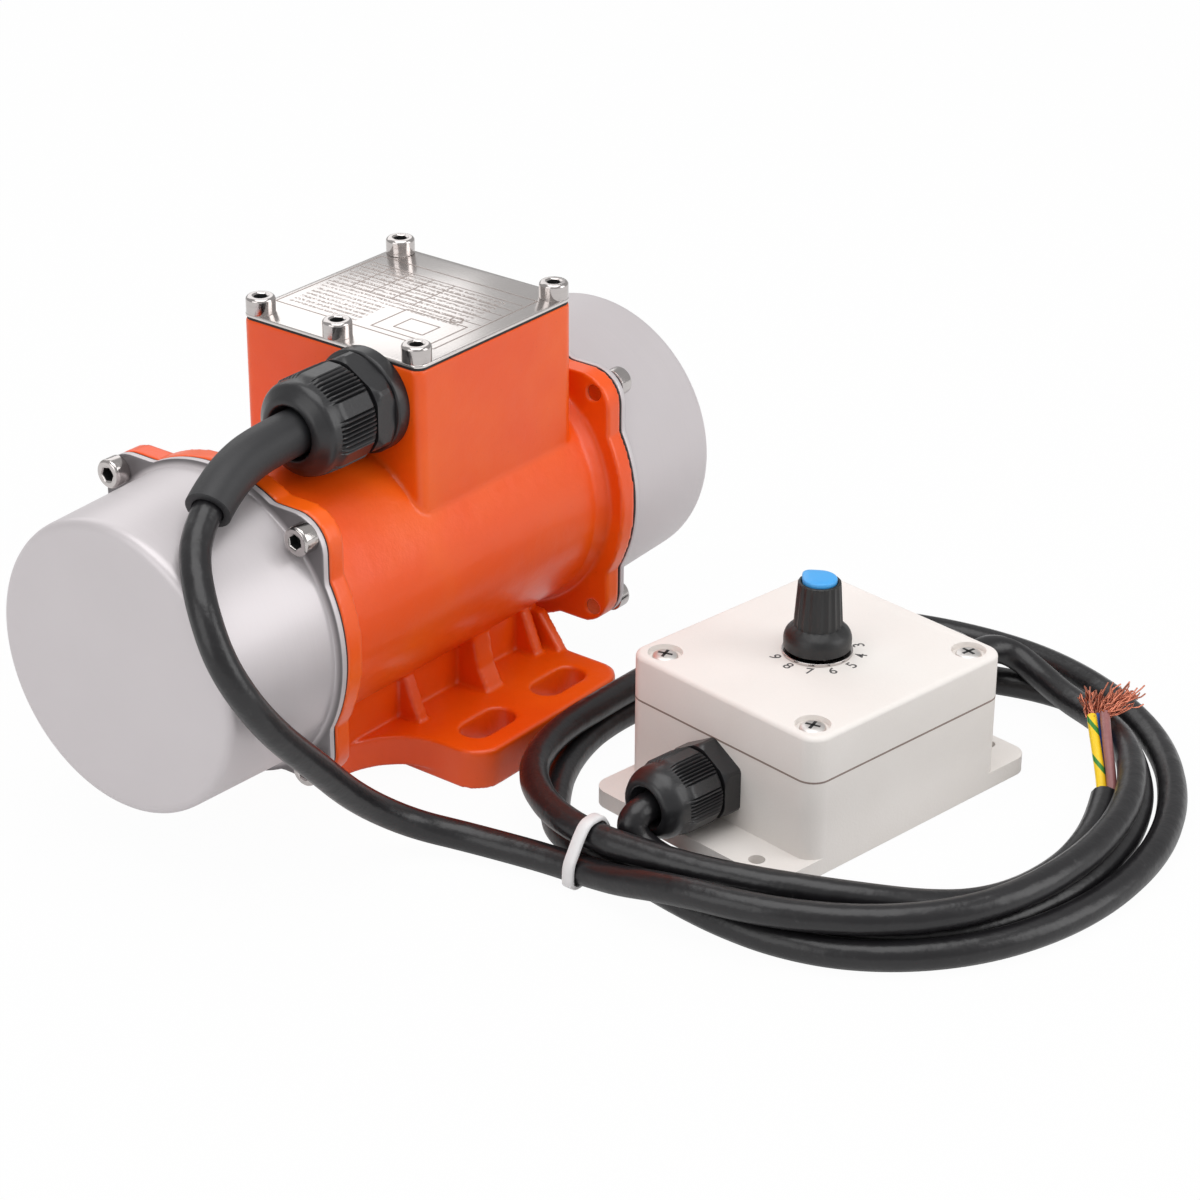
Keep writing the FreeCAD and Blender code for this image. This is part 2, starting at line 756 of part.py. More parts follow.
fixed = []
fixed_screws = []
washers = []
nuts = []
for end, name in ((-1, "near"), (1, "far")):
    fixed.append(weight(end_low(end, fixed_half, weight_thick), S.fit_gap))
    keep(name + "_outer_weight", weight(end_low(end, outer_half, weight_thick), S.turn_gap))
    keep(name + "_weight_screw", clamp_screw(end_low(end, outer_half, weight_thick)))
    washers.append(lathe(mirrored(end, ring(washer_half, washer_half + S.washer_thick,
                                            S.bearing_bore + S.fit_gap, S.washer_rad))))
    nut_half = washer_half + S.washer_thick
    low = mid_x + end_low(end, nut_half, S.nut_high)
    nuts.append(cut(prism(6, S.nut_rad, S.nut_high, low, 0, axis_z, ALONG),
                    rod(S.bearing_bore + S.fit_gap, S.nut_high + 2, low - 1, 0, axis_z, ALONG)))
    fixed_screws.append(clamp_screw(end_low(end, fixed_half, weight_thick)))
keep("fixed_weights", group(fixed))
keep("fixed_weight_screws", group(fixed_screws))
keep("shaft_nuts", group(washers + nuts))

# ---- terminal box lid and contents ----
gasket_holes = [rod(S.screw_hole, 4, x, y, box_top - 1) for x, y in lid_screws_at]
gasket_plate = soften(slab(S.box_half_long - 0.2, S.box_half_wide - 0.2, box_top, box_top + S.lid_gasket),
                      S.box_round, upright)
gasket_gap = slab(S.box_half_long - S.boss_side - 1, S.box_half_wide - S.boss_side - 1, box_top - 1, box_top + 2)
keep("terminal_gasket", cut(gasket_plate, gasket_gap, *gasket_holes))
plate_low = box_top + S.lid_gasket
lid = soften(slab(S.box_half_long, S.box_half_wide, plate_low, plate_low + S.lid_plate), S.box_round, upright)
lid_holes = [rod(S.screw_hole, 4, x, y, plate_low - 1) for x, y in lid_screws_at]
keep("terminal_plate", cut(lid, *lid_holes))
plate_top = plate_low + S.lid_plate
keep("terminal_plate_screws", copies(lid_screw, [spot(x, y, plate_top) for x, y in lid_screws_at]))
block = box(S.block_x - S.block_half, S.block_y - S.block_wide / 2, box_floor, 2 * S.block_half, S.block_wide,
            S.block_high)
well_low = box_floor + S.block_high * 0.4
wells = []
contacts = []
for number in (-1, 0, 1):
    x = S.block_x + S.block_pitch * number
    wells.append(rod(S.block_well, S.block_high, x, S.block_y, well_low))
    screw = fuse(rod(S.block_well - 0.4, 2.0, x, S.block_y, well_low + 2.5),
                 rod(1.3, 2.5, x, S.block_y, well_low))
    slot = box(x - S.block_well, S.block_y - 0.4, well_low + 3.7, 2 * S.block_well, 0.8, 1)
    contacts.append(cut(screw, slot))
keep("terminal_block", cut(block, *wells))
keep("terminal_block_screws", group(contacts))
earth = fuse(rod(S.shield_screw_rad, 3, earth_x, 0, box_floor - 3), rod(2.9, 2.2, earth_x, 0, box_floor))
keep("earth_screw", cut(earth, box(earth_x - 3, -0.4, box_floor + 1.4, 6, 0.8, 1)))

# ---- motor gland ----
gland_turn = Rotation(Vector(0, 1, 0), -90)
face_x = -S.box_half_long


def gland_part(points):
    return pillar(points, face_x, S.gland_y, gland_z, gland_turn)


flange_end = S.gland_flange_long
hex_end = flange_end + S.gland_hex_long
nut_end = hex_end + S.gland_nut_long
flat_lean = math.degrees(math.atan2(-float(S.gland_y), float(gland_z - axis_z)))
flat_turn = gland_turn.multiply(Rotation(Vector(0, 0, 1), 30 - flat_lean))
mouth_rad = S.gland_mouth
body = fuse(rod(S.gland_thread, S.gland_reach, face_x + S.gland_reach, S.gland_y, gland_z, gland_turn),
            rod(S.gland_flange, flange_end, face_x, S.gland_y, gland_z, gland_turn),
            prism(6, S.gland_hex, S.gland_hex_long, face_x - flange_end, S.gland_y, gland_z, flat_turn),
            rod(S.gland_thread + 0.8, 6, face_x - hex_end, S.gland_y, gland_z, gland_turn))
through = rod(mouth_rad, S.gland_reach + hex_end + 8, face_x + S.gland_reach + 1, S.gland_y, gland_z,
              gland_turn)
keep("motor_gland_body", cut(body, through))
nut = gland_part([(mouth_rad, nut_end - 1), (mouth_rad, nut_end + S.gland_dome),
                  (mouth_rad + 1.2, nut_end + S.gland_dome),
                  (S.gland_nut - 1.6, nut_end), (S.gland_nut, nut_end), (S.gland_nut, hex_end + 0.3),
                  (S.gland_thread + 0.8 + S.fit_gap, hex_end + 0.3),
                  (S.gland_thread + 0.8 + S.fit_gap, hex_end + 6.3), (mouth_rad + 1.6, nut_end - 1)])
keep("motor_gland_nut", nut)
seal_in = S.sleeve_rad + S.fit_gap
seal_out = mouth_rad + 1.2
keep("motor_gland_seal", gland_part([(seal_in, hex_end + 6.5), (seal_out, hex_end + 6.5), (seal_out, nut_end - 1.5),
                                     (seal_in, nut_end - 1.5)]))


# ---- cord tubes: straight runs joined by tangent arcs ----
def rounded_wire(points, label, closed=False):
    """Runs and arcs through the points; each arc is as large as its two runs allow."""
    count = len(points)
    pieces_of_path = []
    smallest = 1e9
    last = None if closed else points[0]
    first = None
    corners = range(count) if closed else range(1, count - 1)
    for i in corners:
        here = points[i]
        before = points[i - 1] - here
        after = points[(i + 1) % count] - here
        shorter = min(before.Length, after.Length)
        turn = math.pi - before.getAngle(after)
        cut_back = 0.45 * shorter
        radius = cut_back / math.tan(turn / 2)
        smallest = min(smallest, radius)
        before.normalize()
        after.normalize()
        start = here + before * cut_back
        end = here + after * cut_back
        inward = before + after
        inward.normalize()
        reach = math.hypot(radius, cut_back)
        middle = here + inward * (reach - radius)
        if last is not None:
            pieces_of_path.append(Part.LineSegment(last, start).toShape())
        else:
            first = start
        pieces_of_path.append(Part.Arc(start, middle, end).toShape())
        last = end
    pieces_of_path.append(Part.LineSegment(last, first if closed else points[-1]).toShape())
    wire = Part.Wire(pieces_of_path)
    print("%-14s length %7.1f  smallest radius %5.1f" % (label, wire.Length, smallest))
    return wire


def tube(points, radius, label):
    """A solid tube along the rounded path."""
    wire = rounded_wire(points, label)
    start = points[0]
    profile = Part.Wire(Part.makeCircle(float(radius), start, points[1] - start))
    solid = wire.makePipeShell([profile], True, False)
    wanted = math.pi * float(radius) ** 2 * wire.Length
    if abs(solid.Volume / wanted - 1) > 0.01:
        raise ValueError("%s: volume %.1f, section times length %.1f" % (label, solid.Volume, wanted))
    return solid


def soft(label, shape):
    item = doc.addObject("Part::Feature", "soft")
    item.Shape = shape
    item.Placement = Placement()
    return keep(label, item)


gland_mouth_x = float(face_x - nut_end - S.gland_dome)
gland_at = Vector(gland_mouth_x, float(S.gland_y), float(gland_z))
motor_route = [gland_at + Vector(9, 0, 0), gland_at + Vector(-5.5, -0.1, 0.1),
               gland_at + Vector(-18, -1.1, -1.0),
               gland_at + Vector(-29.8, -3.9, -5.8), Vector(-90.6, -18.9, 80.2), Vector(-96.2, -24.3, 76.8),
               Vector(-100.6, -30.6, 71.2), Vector(-102.3, -36.2, 63.0), Vector(-99.4, -40.4, 53.5),
               Vector(-91.4, -41.2, 42.4), Vector(-81.0, -41.8, 31.2), Vector(-71.5, -41.9, 20.6),
               Vector(-62.8, -43.2, 12.6), Vector(-54.8, -47.4, 6.6), Vector(-49.2, -55.2, 4.2),
               Vector(-46.6, -65.0, 3.8), Vector(-45.0, -72.6, 4.2), Vector(-43.0, -79.4, 5.4)]
cord = tube(motor_route, S.cord_rad, "motor cord")
sleeve_route = [gland_at + Vector(7.5, 0, 0)] + motor_route[1:3] + [gland_at + Vector(-29.9, -3.95, -5.85)]
sleeve_bore = tube(motor_route, S.cord_rad + S.fit_gap, "sleeve bore")
sleeve = tube(sleeve_route, S.sleeve_rad, "sleeve").cut(sleeve_bore)
soft("cord_sleeve", sleeve)
soft("motor_cord", cord)

# ---- coil: one closed solid of its outer shape ----
OUTSIDE = [(-46.9, -84.0), (-48.5, -96.5), (-49.2, -108.5), (-48.0, -122.5), (-43.6, -136.8), (-37.6, -151.4),
           (-28.2, -164.0), (-16.6, -173.2), (-2.0, -179.9), (14.5, -183.3), (31.2, -183.5), (48.0, -180.6),
           (63.6, -174.5), (78.0, -165.4), (90.6, -153.2), (99.6, -139.0), (105.4, -124.9), (108.1, -111.2),
           (107.9, -97.4), (104.2, -82.6), (96.8, -68.8), (85.6, -57.2), (71.4, -48.4), (55.2, -44.2),
           (39.4, -43.4), (24.0, -43.15), (10.0, -43.1), (-3.2, -43.5), (-16.6, -46.6), (-28.2, -53.8),
           (-36.9, -63.7), (-41.9, -74.0)]
INSIDE = [(-33.8, -85.0), (-31.4, -92.5), (-27.4, -99.5), (-26.9, -108.0), (-28.4, -120.5), (-25.6, -132.2),
          (-19.4, -142.6), (-11.4, -151.2), (-2.0, -157.8), (8.0, -162.8), (20.0, -168.2), (34.0, -168.0),
          (47.4, -164.4), (59.4, -158.2), (69.2, -149.4), (76.0, -139.2), (81.0, -128.2), (84.2, -118.2),
          (84.4, -108.0), (81.2, -97.8), (77.4, -88.4), (73.6, -80.2), (69.4, -73.4), (63.4, -67.2),
          (54.0, -60.8), (42.6, -55.6), (30.4, -53.0), (18.0, -51.6), (6.4, -52.0), (-5.0, -54.6),
          (-15.6, -59.2), (-25.6, -66.2), (-32.4, -75.4)]
outer = Part.Face(rounded_wire([Vector(x, y, 0) for x, y in OUTSIDE], "coil outside", True))
inner = Part.Face(rounded_wire([Vector(x, y, 0) for x, y in INSIDE], "coil inside", True))
coil = outer.cut(inner).extrude(Vector(0, 0, float(S.coil_high)))
rims = [edge for edge in coil.Edges if edge.BoundBox.ZLength < 1e-6]
coil = coil.makeFillet(float(S.coil_round), rims)
soft("cord_coil", coil)

# ---- cable tie round the bundle ----
tie_y = -84.0
tie_x = -47.0
tie_span = 14.4
tie_in = box(tie_x, tie_y - S.tie_wide / 2 - 1, S.tie_thick, tie_span, S.tie_wide + 2,
             S.coil_high + 0.4 - S.tie_thick)
tie_out = box(tie_x - S.tie_thick, tie_y - S.tie_wide / 2, 0, tie_span + 2 * S.tie_thick, S.tie_wide,
              S.coil_high + 0.4 + S.tie_thick)
tie_head = box(tie_x + 3, tie_y - S.tie_wide, S.coil_high + 0.4, 5.4, 2 * S.tie_wide, 4.2)
keep("cable_tie", cut(fuse(tie_out, tie_head), tie_in))

# ---- controller case ----
case_turn = Rotation(Vector(0, 0, 1), float(S.case_turn))


def case_piece(label, item):
    """The finished piece, moved as a whole."""
    moved = group([item])
    moved.Placement = Placement(Vector(float(S.case_x), float(S.case_y), 0), case_turn)
    moved.setExpression("Placement.Base.x", "Sizes.case_x")
    moved.setExpression("Placement.Base.y", "Sizes.case_y")
    moved.setExpression("Placement.Rotation.Angle", "Sizes.case_turn")
    return keep(label, moved)


inside_x = S.case_half_long - S.case_wall
inside_y = S.case_half_wide - S.case_wall
shell = soften(slab(S.case_half_long, S.case_half_wide, 0, S.case_seam), S.case_round, upright)
lug_plate = soften(slab(S.lug_half, S.case_half_wide, 0, S.lug_thick), S.case_round, upright)
hollow = soften(slab(inside_x, inside_y, S.case_wall, S.case_seam + 1), S.case_round - S.case_wall, upright)
corners = [(x * S.lid_screw_x, y * S.lid_screw_y) for x in (-1, 1) for y in (-1, 1)]
posts = [rod(S.lid_post_rad, S.case_seam - S.case_wall, x, y, S.case_wall) for x, y in corners]
posts += [rod(2.2, S.board_lift, x * (S.board_half_long - 4), y * (S.board_half_wide - 4), S.case_wall)
          for x in (-1, 1) for y in (-1, 1)]
screw_low = S.case_high - S.lid_recess_deep - S.lid_screw_long
drills = [rod(S.lid_screw_rad + S.fit_gap, S.lid_screw_long, x, y, screw_low - S.fit_gap) for x, y in corners]
drills += [rod(S.lug_hole_rad, S.lug_thick + 2, x * S.lug_hole_x, y * S.lug_hole_y, -1)
           for x in (-1, 1) for y in (-1, 1)]
for end in (-1, 1):
    low = end * S.case_half_long if end < 0 else inside_x - 1
    drills.append(rod(S.small_thread + S.fit_gap, S.case_wall + 2, end_low(end, inside_x - 1, S.case_wall + 2),
                      S.small_y, S.small_z, ALONG))
case_piece("controller_base", cut(fuse(cut(fuse(shell, lug_plate), hollow), *posts), *drills))

seam_top = S.case_seam + S.fit_gap
cap = soften(slab(S.case_half_long, S.case_half_wide, seam_top, S.case_high), S.case_round, upright)
top_z = float(S.case_high)


def on_top(edge):
    low = edge.BoundBox
    return low.ZLength < 1e-6 and abs(low.ZMin - top_z) < 1e-6


cap = soften(cap, 1.2, on_top)
roof = S.case_high - S.case_wall
lid_hollow = soften(slab(inside_x, inside_y, seam_top - 1, roof), S.case_round - S.case_wall, upright)
lid_posts = [rod(S.lid_post_rad, roof - seam_top, x, y, seam_top) for x, y in corners]
lid_drills = [rod(S.lid_screw_rad + 0.2, S.case_high, x, y, seam_top - 1) for x, y in corners]
recess_low = S.case_high - S.lid_recess_deep
lid_drills += [rod(S.lid_recess, S.lid_recess_deep + 1, x, y, recess_low) for x, y in corners]
lid_drills.append(rod(S.pot_bush + 0.1, S.case_wall + 2, 0, 0, roof - 1))
case_piece("controller_lid", cut(fuse(cut(cap, lid_hollow), *lid_posts), *lid_drills))
head_low = S.case_high - S.lid_recess_deep
phillips = fuse(rod(S.lid_screw_rad, S.lid_screw_long, 0, 0, screw_low),
                rod(S.lid_head_rad, S.lid_head_high, 0, 0, head_low))
cross = fuse(box(-S.cross_half, -S.cross_wide / 2, head_low + 0.5, 2 * S.cross_half, S.cross_wide, 1),
             box(-S.cross_wide / 2, -S.cross_half, head_low + 0.5, S.cross_wide, 2 * S.cross_half, 1))
case_piece("lid_screws", copies(cut(phillips, cross), [spot(x, y, 0) for x, y in corners]))

# ---- controller glands ----
small_dome_end = S.small_hex_long + 0.5 + S.small_nut_long + S.small_dome
for end, name in ((-1, "front"), (1, "rear")):
    turn = Rotation(Vector(0, 1, 0), 90 * end)
    face = end * S.case_half_long
    hex_turn = turn.multiply(Rotation(Vector(0, 0, 1), 30))
    body = fuse(rod(S.small_thread, S.small_reach, face - end * S.small_reach, S.small_y, S.small_z, turn),
                prism(6, S.small_hex, S.small_hex_long, face, S.small_y, S.small_z, hex_turn),
                rod(S.small_thread + 0.6, 5, face + end * S.small_hex_long, S.small_y, S.small_z, turn))
    hole = rod(S.cord_rad + S.fit_gap, 30, face - end * (S.small_reach + 1), S.small_y, S.small_z, turn)
    case_piece(name + "_gland_body", cut(body, hole))
    nut_low = S.small_hex_long + 0.5
    nut_top = nut_low + S.small_nut_long
    profile = [(S.cord_rad + S.fit_gap, nut_low + 5.5), (S.cord_rad + S.fit_gap, nut_top + S.small_dome),
               (S.small_mouth - 1, nut_top + S.small_dome), (S.small_nut - 0.6, nut_top),
               (S.small_nut, nut_top), (S.small_nut, nut_low), (S.small_thread + 0.6 + S.fit_gap, nut_low),
               (S.small_thread + 0.6 + S.fit_gap, nut_low + 5.5)]
    case_piece(name + "_gland_nut", pillar(profile, face, S.small_y, S.small_z, turn))
locks = []
for end in (-1, 1):
    turn = Rotation(Vector(0, 1, 0), -90 * end)
    start = end * inside_x
    locks.append(cut(prism(6, S.locknut_rad, S.locknut_thick, start, S.small_y, S.small_z, turn),
                     rod(S.small_thread + S.fit_gap, S.locknut_thick + 2, start + end * 1, S.small_y, S.small_z,
                         turn)))
case_piece("gland_locknuts", group(locks))

# ---- speed control and circuit board ----
pot = fuse(rod(S.pot_rad, S.pot_high, 0, 0, roof - S.pot_high), rod(S.pot_bush, S.pot_bush_long, 0, 0, roof),
           rod(S.pot_shaft, S.pot_bush_long + S.pot_shaft_long, 0, 0, roof))
case_piece("potentiometer", pot)
washer_top = S.case_high + S.pot_washer_thick
case_piece("control_washer", cut(rod(S.pot_washer, S.pot_washer_thick, 0, 0, S.case_high),
                                 rod(S.pot_bush + S.fit_gap, 4, 0, 0, S.case_high - 1)))
case_piece("control_nut", cut(prism(6, S.pot_nut, S.pot_nut_high, 0, 0, washer_top),
                              rod(S.pot_bush + S.fit_gap, 4, 0, 0, washer_top - 1)))
board_z = S.case_wall + S.board_lift
case_piece("circuit_board", slab(S.board_half_long, S.board_half_wide, board_z, board_z + S.board_thick))
part_z = board_z + S.board_thick
edge_y = S.board_half_wide - 1
sink = box(4, edge_y - S.sink_wide, part_z, S.sink_long, S.sink_wide, S.sink_high)
fin_pitch = S.sink_wide / 4
gaps = [box(3, edge_y - S.sink_wide + fin_pitch * (k + 0.5) - S.sink_gap / 2, part_z + S.sink_high / 4,
            S.sink_long + 2, S.sink_gap, S.sink_high) for k in range(4)]
case_piece("heat_sink", cut(sink, *gaps))
case_piece("capacitor", box(-3 - S.capacitor_long, edge_y - S.capacitor_wide, part_z, S.capacitor_long,
                            S.capacitor_wide, S.capacitor_high))
row_y = -S.board_half_wide + 1
terminal_row = box(-S.row_long / 2, row_y, part_z, S.row_long, S.row_wide, S.row_high)
row_pitch = S.row_long / 6
row_wells = [rod(S.row_well, S.row_high, row_pitch * (k - 2.5), row_y + S.row_wide / 2,
                 part_z + S.row_high * 0.6) for k in range(6)]
case_piece("controller_terminals", cut(terminal_row, *row_wells))

# ---- knob ----
knob_low = S.case_high + S.knob_lift
skirt_top = knob_low + S.knob_skirt_high
knob_top = knob_low + S.knob_high
hollow_top = knob_low + S.knob_hollow_high
knob_body = pillar([(S.knob_hollow, knob_low), (S.knob_skirt, knob_low), (S.knob_skirt - 0.3, skirt_top),
                    (S.knob_neck, skirt_top + 1.3), (S.knob_grip, knob_top), (0, knob_top),
                    (0, roof + S.pot_bush_long + S.pot_shaft_long + 0.4),
                    (S.pot_shaft + S.turn_gap, roof + S.pot_bush_long + S.pot_shaft_long + 0.4),
                    (S.pot_shaft + S.turn_gap, hollow_top), (S.knob_hollow, hollow_top)])
cap_hole = rod(S.cap_rad + S.fit_gap, S.cap_sunk + 1, 0, 0, knob_top - S.cap_sunk)
tip_hole = box(-0.8, 0, knob_top - S.cap_sunk, 1.6, S.knob_grip + 1, S.cap_sunk + 1)
case_piece("knob", cut(knob_body, cap_hole, tip_hole))
cap_disc = rod(S.cap_rad, S.cap_high, 0, 0, knob_top - S.cap_sunk)
cap_tip = box(-0.75, 0, knob_top - S.cap_sunk, 1.5, S.knob_grip, S.cap_high)
case_piece("knob_cap", fuse(cap_disc, cap_tip))

# ---- short cord ends at the controller ----
frame_of_case = Placement(Vector(float(S.case_x), float(S.case_y), 0), case_turn)


def case_point(x, y, z):
    return frame_of_case.multVec(Vector(x, y, z))


tip = float(S.case_half_long + small_dome_end)
small_y = float(S.small_y)
small_z = float(S.small_z)
soft("supply_cord", tube([case_point(-tip + 12, small_y, small_z), case_point(-tip - 2.4, small_y, small_z),
                          Vector(-34.6, -93.4, 12.4), Vector(-37.0, -98.6, 9.4)], S.cord_rad, "supply cord"))
soft("control_cord", tube([case_point(tip - 12, small_y, small_z), case_point(tip + 9.0, small_y, small_z),
                           Vector(90.0, -114.4, 11.0), Vector(90.4, -119.5, 8.0)], S.cord_rad, "control cord"))
tail_end = Vector(50.4, -157.4, 6.6)
tail_aim = Vector(0.82, 0.52, 0.24)
tail_side = Vector(-0.53, 0.85, 0)
tail_up = Vector(-0.2, -0.13, 0.97)
soft("cord_tail", tube([Vector(4.0, -162.6, 4.6), Vector(18.0, -165.8, 3.8), Vector(32.5, -165.2, 3.8),
                        Vector(43.5, -161.8, 4.6), tail_end], S.cord_rad, "cord tail"))
cores = []
strands = []
for side, far in ((-1, Vector(72.6, -148.4, 14.6)), (0, Vector(71.8, -145.8, 16.0)),
                  (1, Vector(68.8, -144.2, 14.6))):
    start = tail_end + tail_aim * 0.4 + tail_side * (1.6 * side) + tail_up * (1.0 if side == 0 else -0.9)
    route = [start, start + tail_aim * 3.6 + Vector(0, 0, 0.6), start + Vector(7.4, 6.0, 8.6),
             far - (far - start) * 0.22 + Vector(0.4, -0.6, 0.4), far]
    cores.append(tube(route, S.core_rad, "core"))
    ahead = far - route[-2]
    ahead.normalize()
    strands.append(Part.makeCylinder(float(S.strand_rad), 7.0, far, ahead))
soft("core_wires", Part.makeCompound(cores))
soft("copper_strands", Part.makeCompound(strands))

# ---- check every object and write the pieces ----
doc.recompute()
broken = [item.Label for item in doc.Objects if "Invalid" in item.State or "Error" in item.State]
for item in pieces:
    if item.Shape.isNull() or not item.Shape.isValid() or not item.Shape.Solids:
        broken.append(item.Label)
if broken:
    raise ValueError("not sound: " + ", ".join(broken))
os.makedirs("parts", exist_ok=True)
for item in pieces:
    item.Shape.exportStep("parts/%s.step" % item.Label)
    print("%-24s solids %2d  volume %10.1f" % (item.Label, len(item.Shape.Solids), item.Shape.Volume))
print(len(pieces), "pieces")
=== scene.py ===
import json
import math
import bmesh
import bpy
import numpy as np
from mathutils import Matrix, Vector


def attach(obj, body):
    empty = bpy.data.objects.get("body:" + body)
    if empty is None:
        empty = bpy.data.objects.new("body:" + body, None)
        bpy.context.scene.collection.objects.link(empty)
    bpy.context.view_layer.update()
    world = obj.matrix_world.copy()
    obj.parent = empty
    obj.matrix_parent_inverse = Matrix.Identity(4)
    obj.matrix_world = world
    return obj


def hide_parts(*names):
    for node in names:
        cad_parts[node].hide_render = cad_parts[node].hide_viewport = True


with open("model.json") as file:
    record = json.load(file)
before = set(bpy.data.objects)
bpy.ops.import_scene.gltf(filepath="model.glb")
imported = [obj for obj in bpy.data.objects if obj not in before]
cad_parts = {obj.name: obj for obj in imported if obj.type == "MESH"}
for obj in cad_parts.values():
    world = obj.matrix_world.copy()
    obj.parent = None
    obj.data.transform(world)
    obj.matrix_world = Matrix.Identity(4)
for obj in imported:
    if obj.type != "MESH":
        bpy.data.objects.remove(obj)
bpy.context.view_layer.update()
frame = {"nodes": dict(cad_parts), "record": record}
cadNodes = frame["nodes"]
print("stage: frame loaded")

# camera
shot = {
    "place": (-0.52908, -0.46197, 0.37633),
    "azimuth": -52.23,
    "elevation": 26.49,
    "roll": 0.26,
    "lens": 98.98,
    "shift": (0.0102, -0.0023),
}


def placed(name, data):
    # a new object in the scene
    item = bpy.data.objects.new(name, data)
    bpy.context.scene.collection.objects.link(item)
    return item


def madeMesh(piece):
    # the mesh that a working piece's modifiers or settings give; the piece itself goes
    mesh = bpy.data.meshes.new_from_object(piece.evaluated_get(bpy.context.evaluated_depsgraph_get()))
    bpy.data.objects.remove(piece)
    return mesh


def meshPoints(mesh):
    spots = np.empty(len(mesh.vertices) * 3)
    mesh.vertices.foreach_get("co", spots)
    return spots.reshape(-1, 3)


def makeCamera():
    # looks along the direction that the two angles give, turned by the roll about its own line of sight
    side, rise, roll = (math.radians(shot[key]) for key in ("azimuth", "elevation", "roll"))
    ahead = Vector((-math.sin(side) * math.cos(rise), math.cos(side) * math.cos(rise), -math.sin(rise)))
    right = ahead.cross(Vector((0, 0, 1))).normalized()
    upward = right.cross(ahead)
    rollSine, rollCosine = math.sin(roll), math.cos(roll)
    right, upward = rollCosine * right + rollSine * upward, rollCosine * upward - rollSine * right
    lens = bpy.data.cameras.new("camera")
    lens.lens = shot["lens"]
    lens.sensor_width = 36
    lens.shift_x, lens.shift_y = shot["shift"]
    lens.clip_start = 0.05
    lens.clip_end = 20
    camera = placed("camera", lens)
    turn = Matrix((right, upward, -ahead)).transposed().to_4x4()
    camera.matrix_world = Matrix.Translation(shot["place"]) @ turn
    bpy.context.scene.camera = camera


makeCamera()


# shader maths
class Field:
    # a shader socket on which + - *, powers and abs add their Math nodes
    def __init__(self, shade, socket):
        self.shade = shade
        self.socket = socket

    def __add__(self, other):
        return self.shade.math("ADD", self, other)

    def __sub__(self, other):
        return self.shade.math("SUBTRACT", self, other)

    def __rsub__(self, other):
        return self.shade.math("SUBTRACT", other, self)

    def __mul__(self, other):
        return self.shade.math("MULTIPLY", self, other)

    def __pow__(self, other):
        return self.shade.math("POWER", self, other)

    def __abs__(self):
        return self.shade.math("ABSOLUTE", self)

    __radd__ = __add__
    __rmul__ = __mul__

    def step(self, low, high):
        # 0 below low, 1 above high, an S-shaped rise between
        return self.shade.node("ShaderNodeMapRange", {"interpolation_type": "SMOOTHSTEP"},
                               {"Value": self, "From Min": low, "From Max": high})

    def band(self, middle, half, soft):
        # 1 within half of middle, fading to 0 over soft
        return 1 - abs(self - middle).step(half, half + soft)


class Shade:
    # a material under construction; finish closes it with one shader
    def __init__(self, name):
        self.material = bpy.data.materials.new(name)
        self.material.use_nodes = True
        self.tree = self.material.node_tree
        self.tree.nodes.clear()

    def node(self, kind, settings=None, sockets=None, out=0):
        item = self.tree.nodes.new(kind)
        for name, value in (settings or {}).items():
            setattr(item, name, value)
        for name, value in (sockets or {}).items():
            self.join(item.inputs[name], value)
        return Field(self, item.outputs[out])

    def join(self, socket, value):
        if isinstance(value, Field):
            self.tree.links.new(value.socket, socket)
        elif isinstance(value, tuple) and len(value) == 3 and socket.type == "RGBA":
            socket.default_value = (*value, 1)
        else:
            socket.default_value = value

    def math(self, operation, first, second=None):
        sockets = {0: first} if second is None else {0: first, 1: second}
        return self.node("ShaderNodeMath", {"operation": operation}, sockets)

    def place(self, stretch=(1, 1, 1), shift=(0, 0, 0)):
        spot = self.node("ShaderNodeTexCoord", out=3)
        if stretch == (1, 1, 1) and shift == (0, 0, 0):
            return spot
        return self.node("ShaderNodeMapping", {}, {"Vector": spot, "Scale": stretch, "Location": shift})

    def axes(self, place=None):
        item = self.node("ShaderNodeSeparateXYZ", {}, {0: place or self.place()})
        return item, Field(self, item.socket.node.outputs[1]), Field(self, item.socket.node.outputs[2])

    def noise(self, place, scale, detail=3.0, rough=0.5):
        return self.node("ShaderNodeTexNoise", {}, {"Vector": place, "Scale": scale, "Detail": detail,
                                                    "Roughness": rough})

    def mix(self, factor, first, second):
        return self.node("ShaderNodeMix", {"data_type": "RGBA"}, {0: factor, 6: first, 7: second}, out=2)

    def finish(self, base, bumps=(), **sockets):
        shader = self.tree.nodes.new("ShaderNodeBsdfPrincipled")
        names = {"rough": "Roughness", "metal": "Metallic", "coat": "Coat Weight",
                 "coatRough": "Coat Roughness", "specular": "Specular IOR Level", "alpha": "Alpha"}
        self.join(shader.inputs["Base Color"], base)
        for name, value in sockets.items():
            self.join(shader.inputs[names[name]], value)
        normal = None
        for height, depth in bumps:
            sent = {"Height": height, "Distance": depth}
            if normal:
                sent["Normal"] = normal
            normal = self.node("ShaderNodeBump", {}, sent)
        if normal:
            self.join(shader.inputs["Normal"], normal)
        output = self.tree.nodes.new("ShaderNodeOutputMaterial")
        self.tree.links.new(shader.outputs[0], output.inputs[0])
        return self.material


def colour(red, green, blue):
    # screen colour 0-255 to the linear colour that a shader takes
    return tuple((part / 255 / 12.92) if part <= 10 else ((part / 255 + 0.055) / 1.055) ** 2.4
                 for part in (red, green, blue))


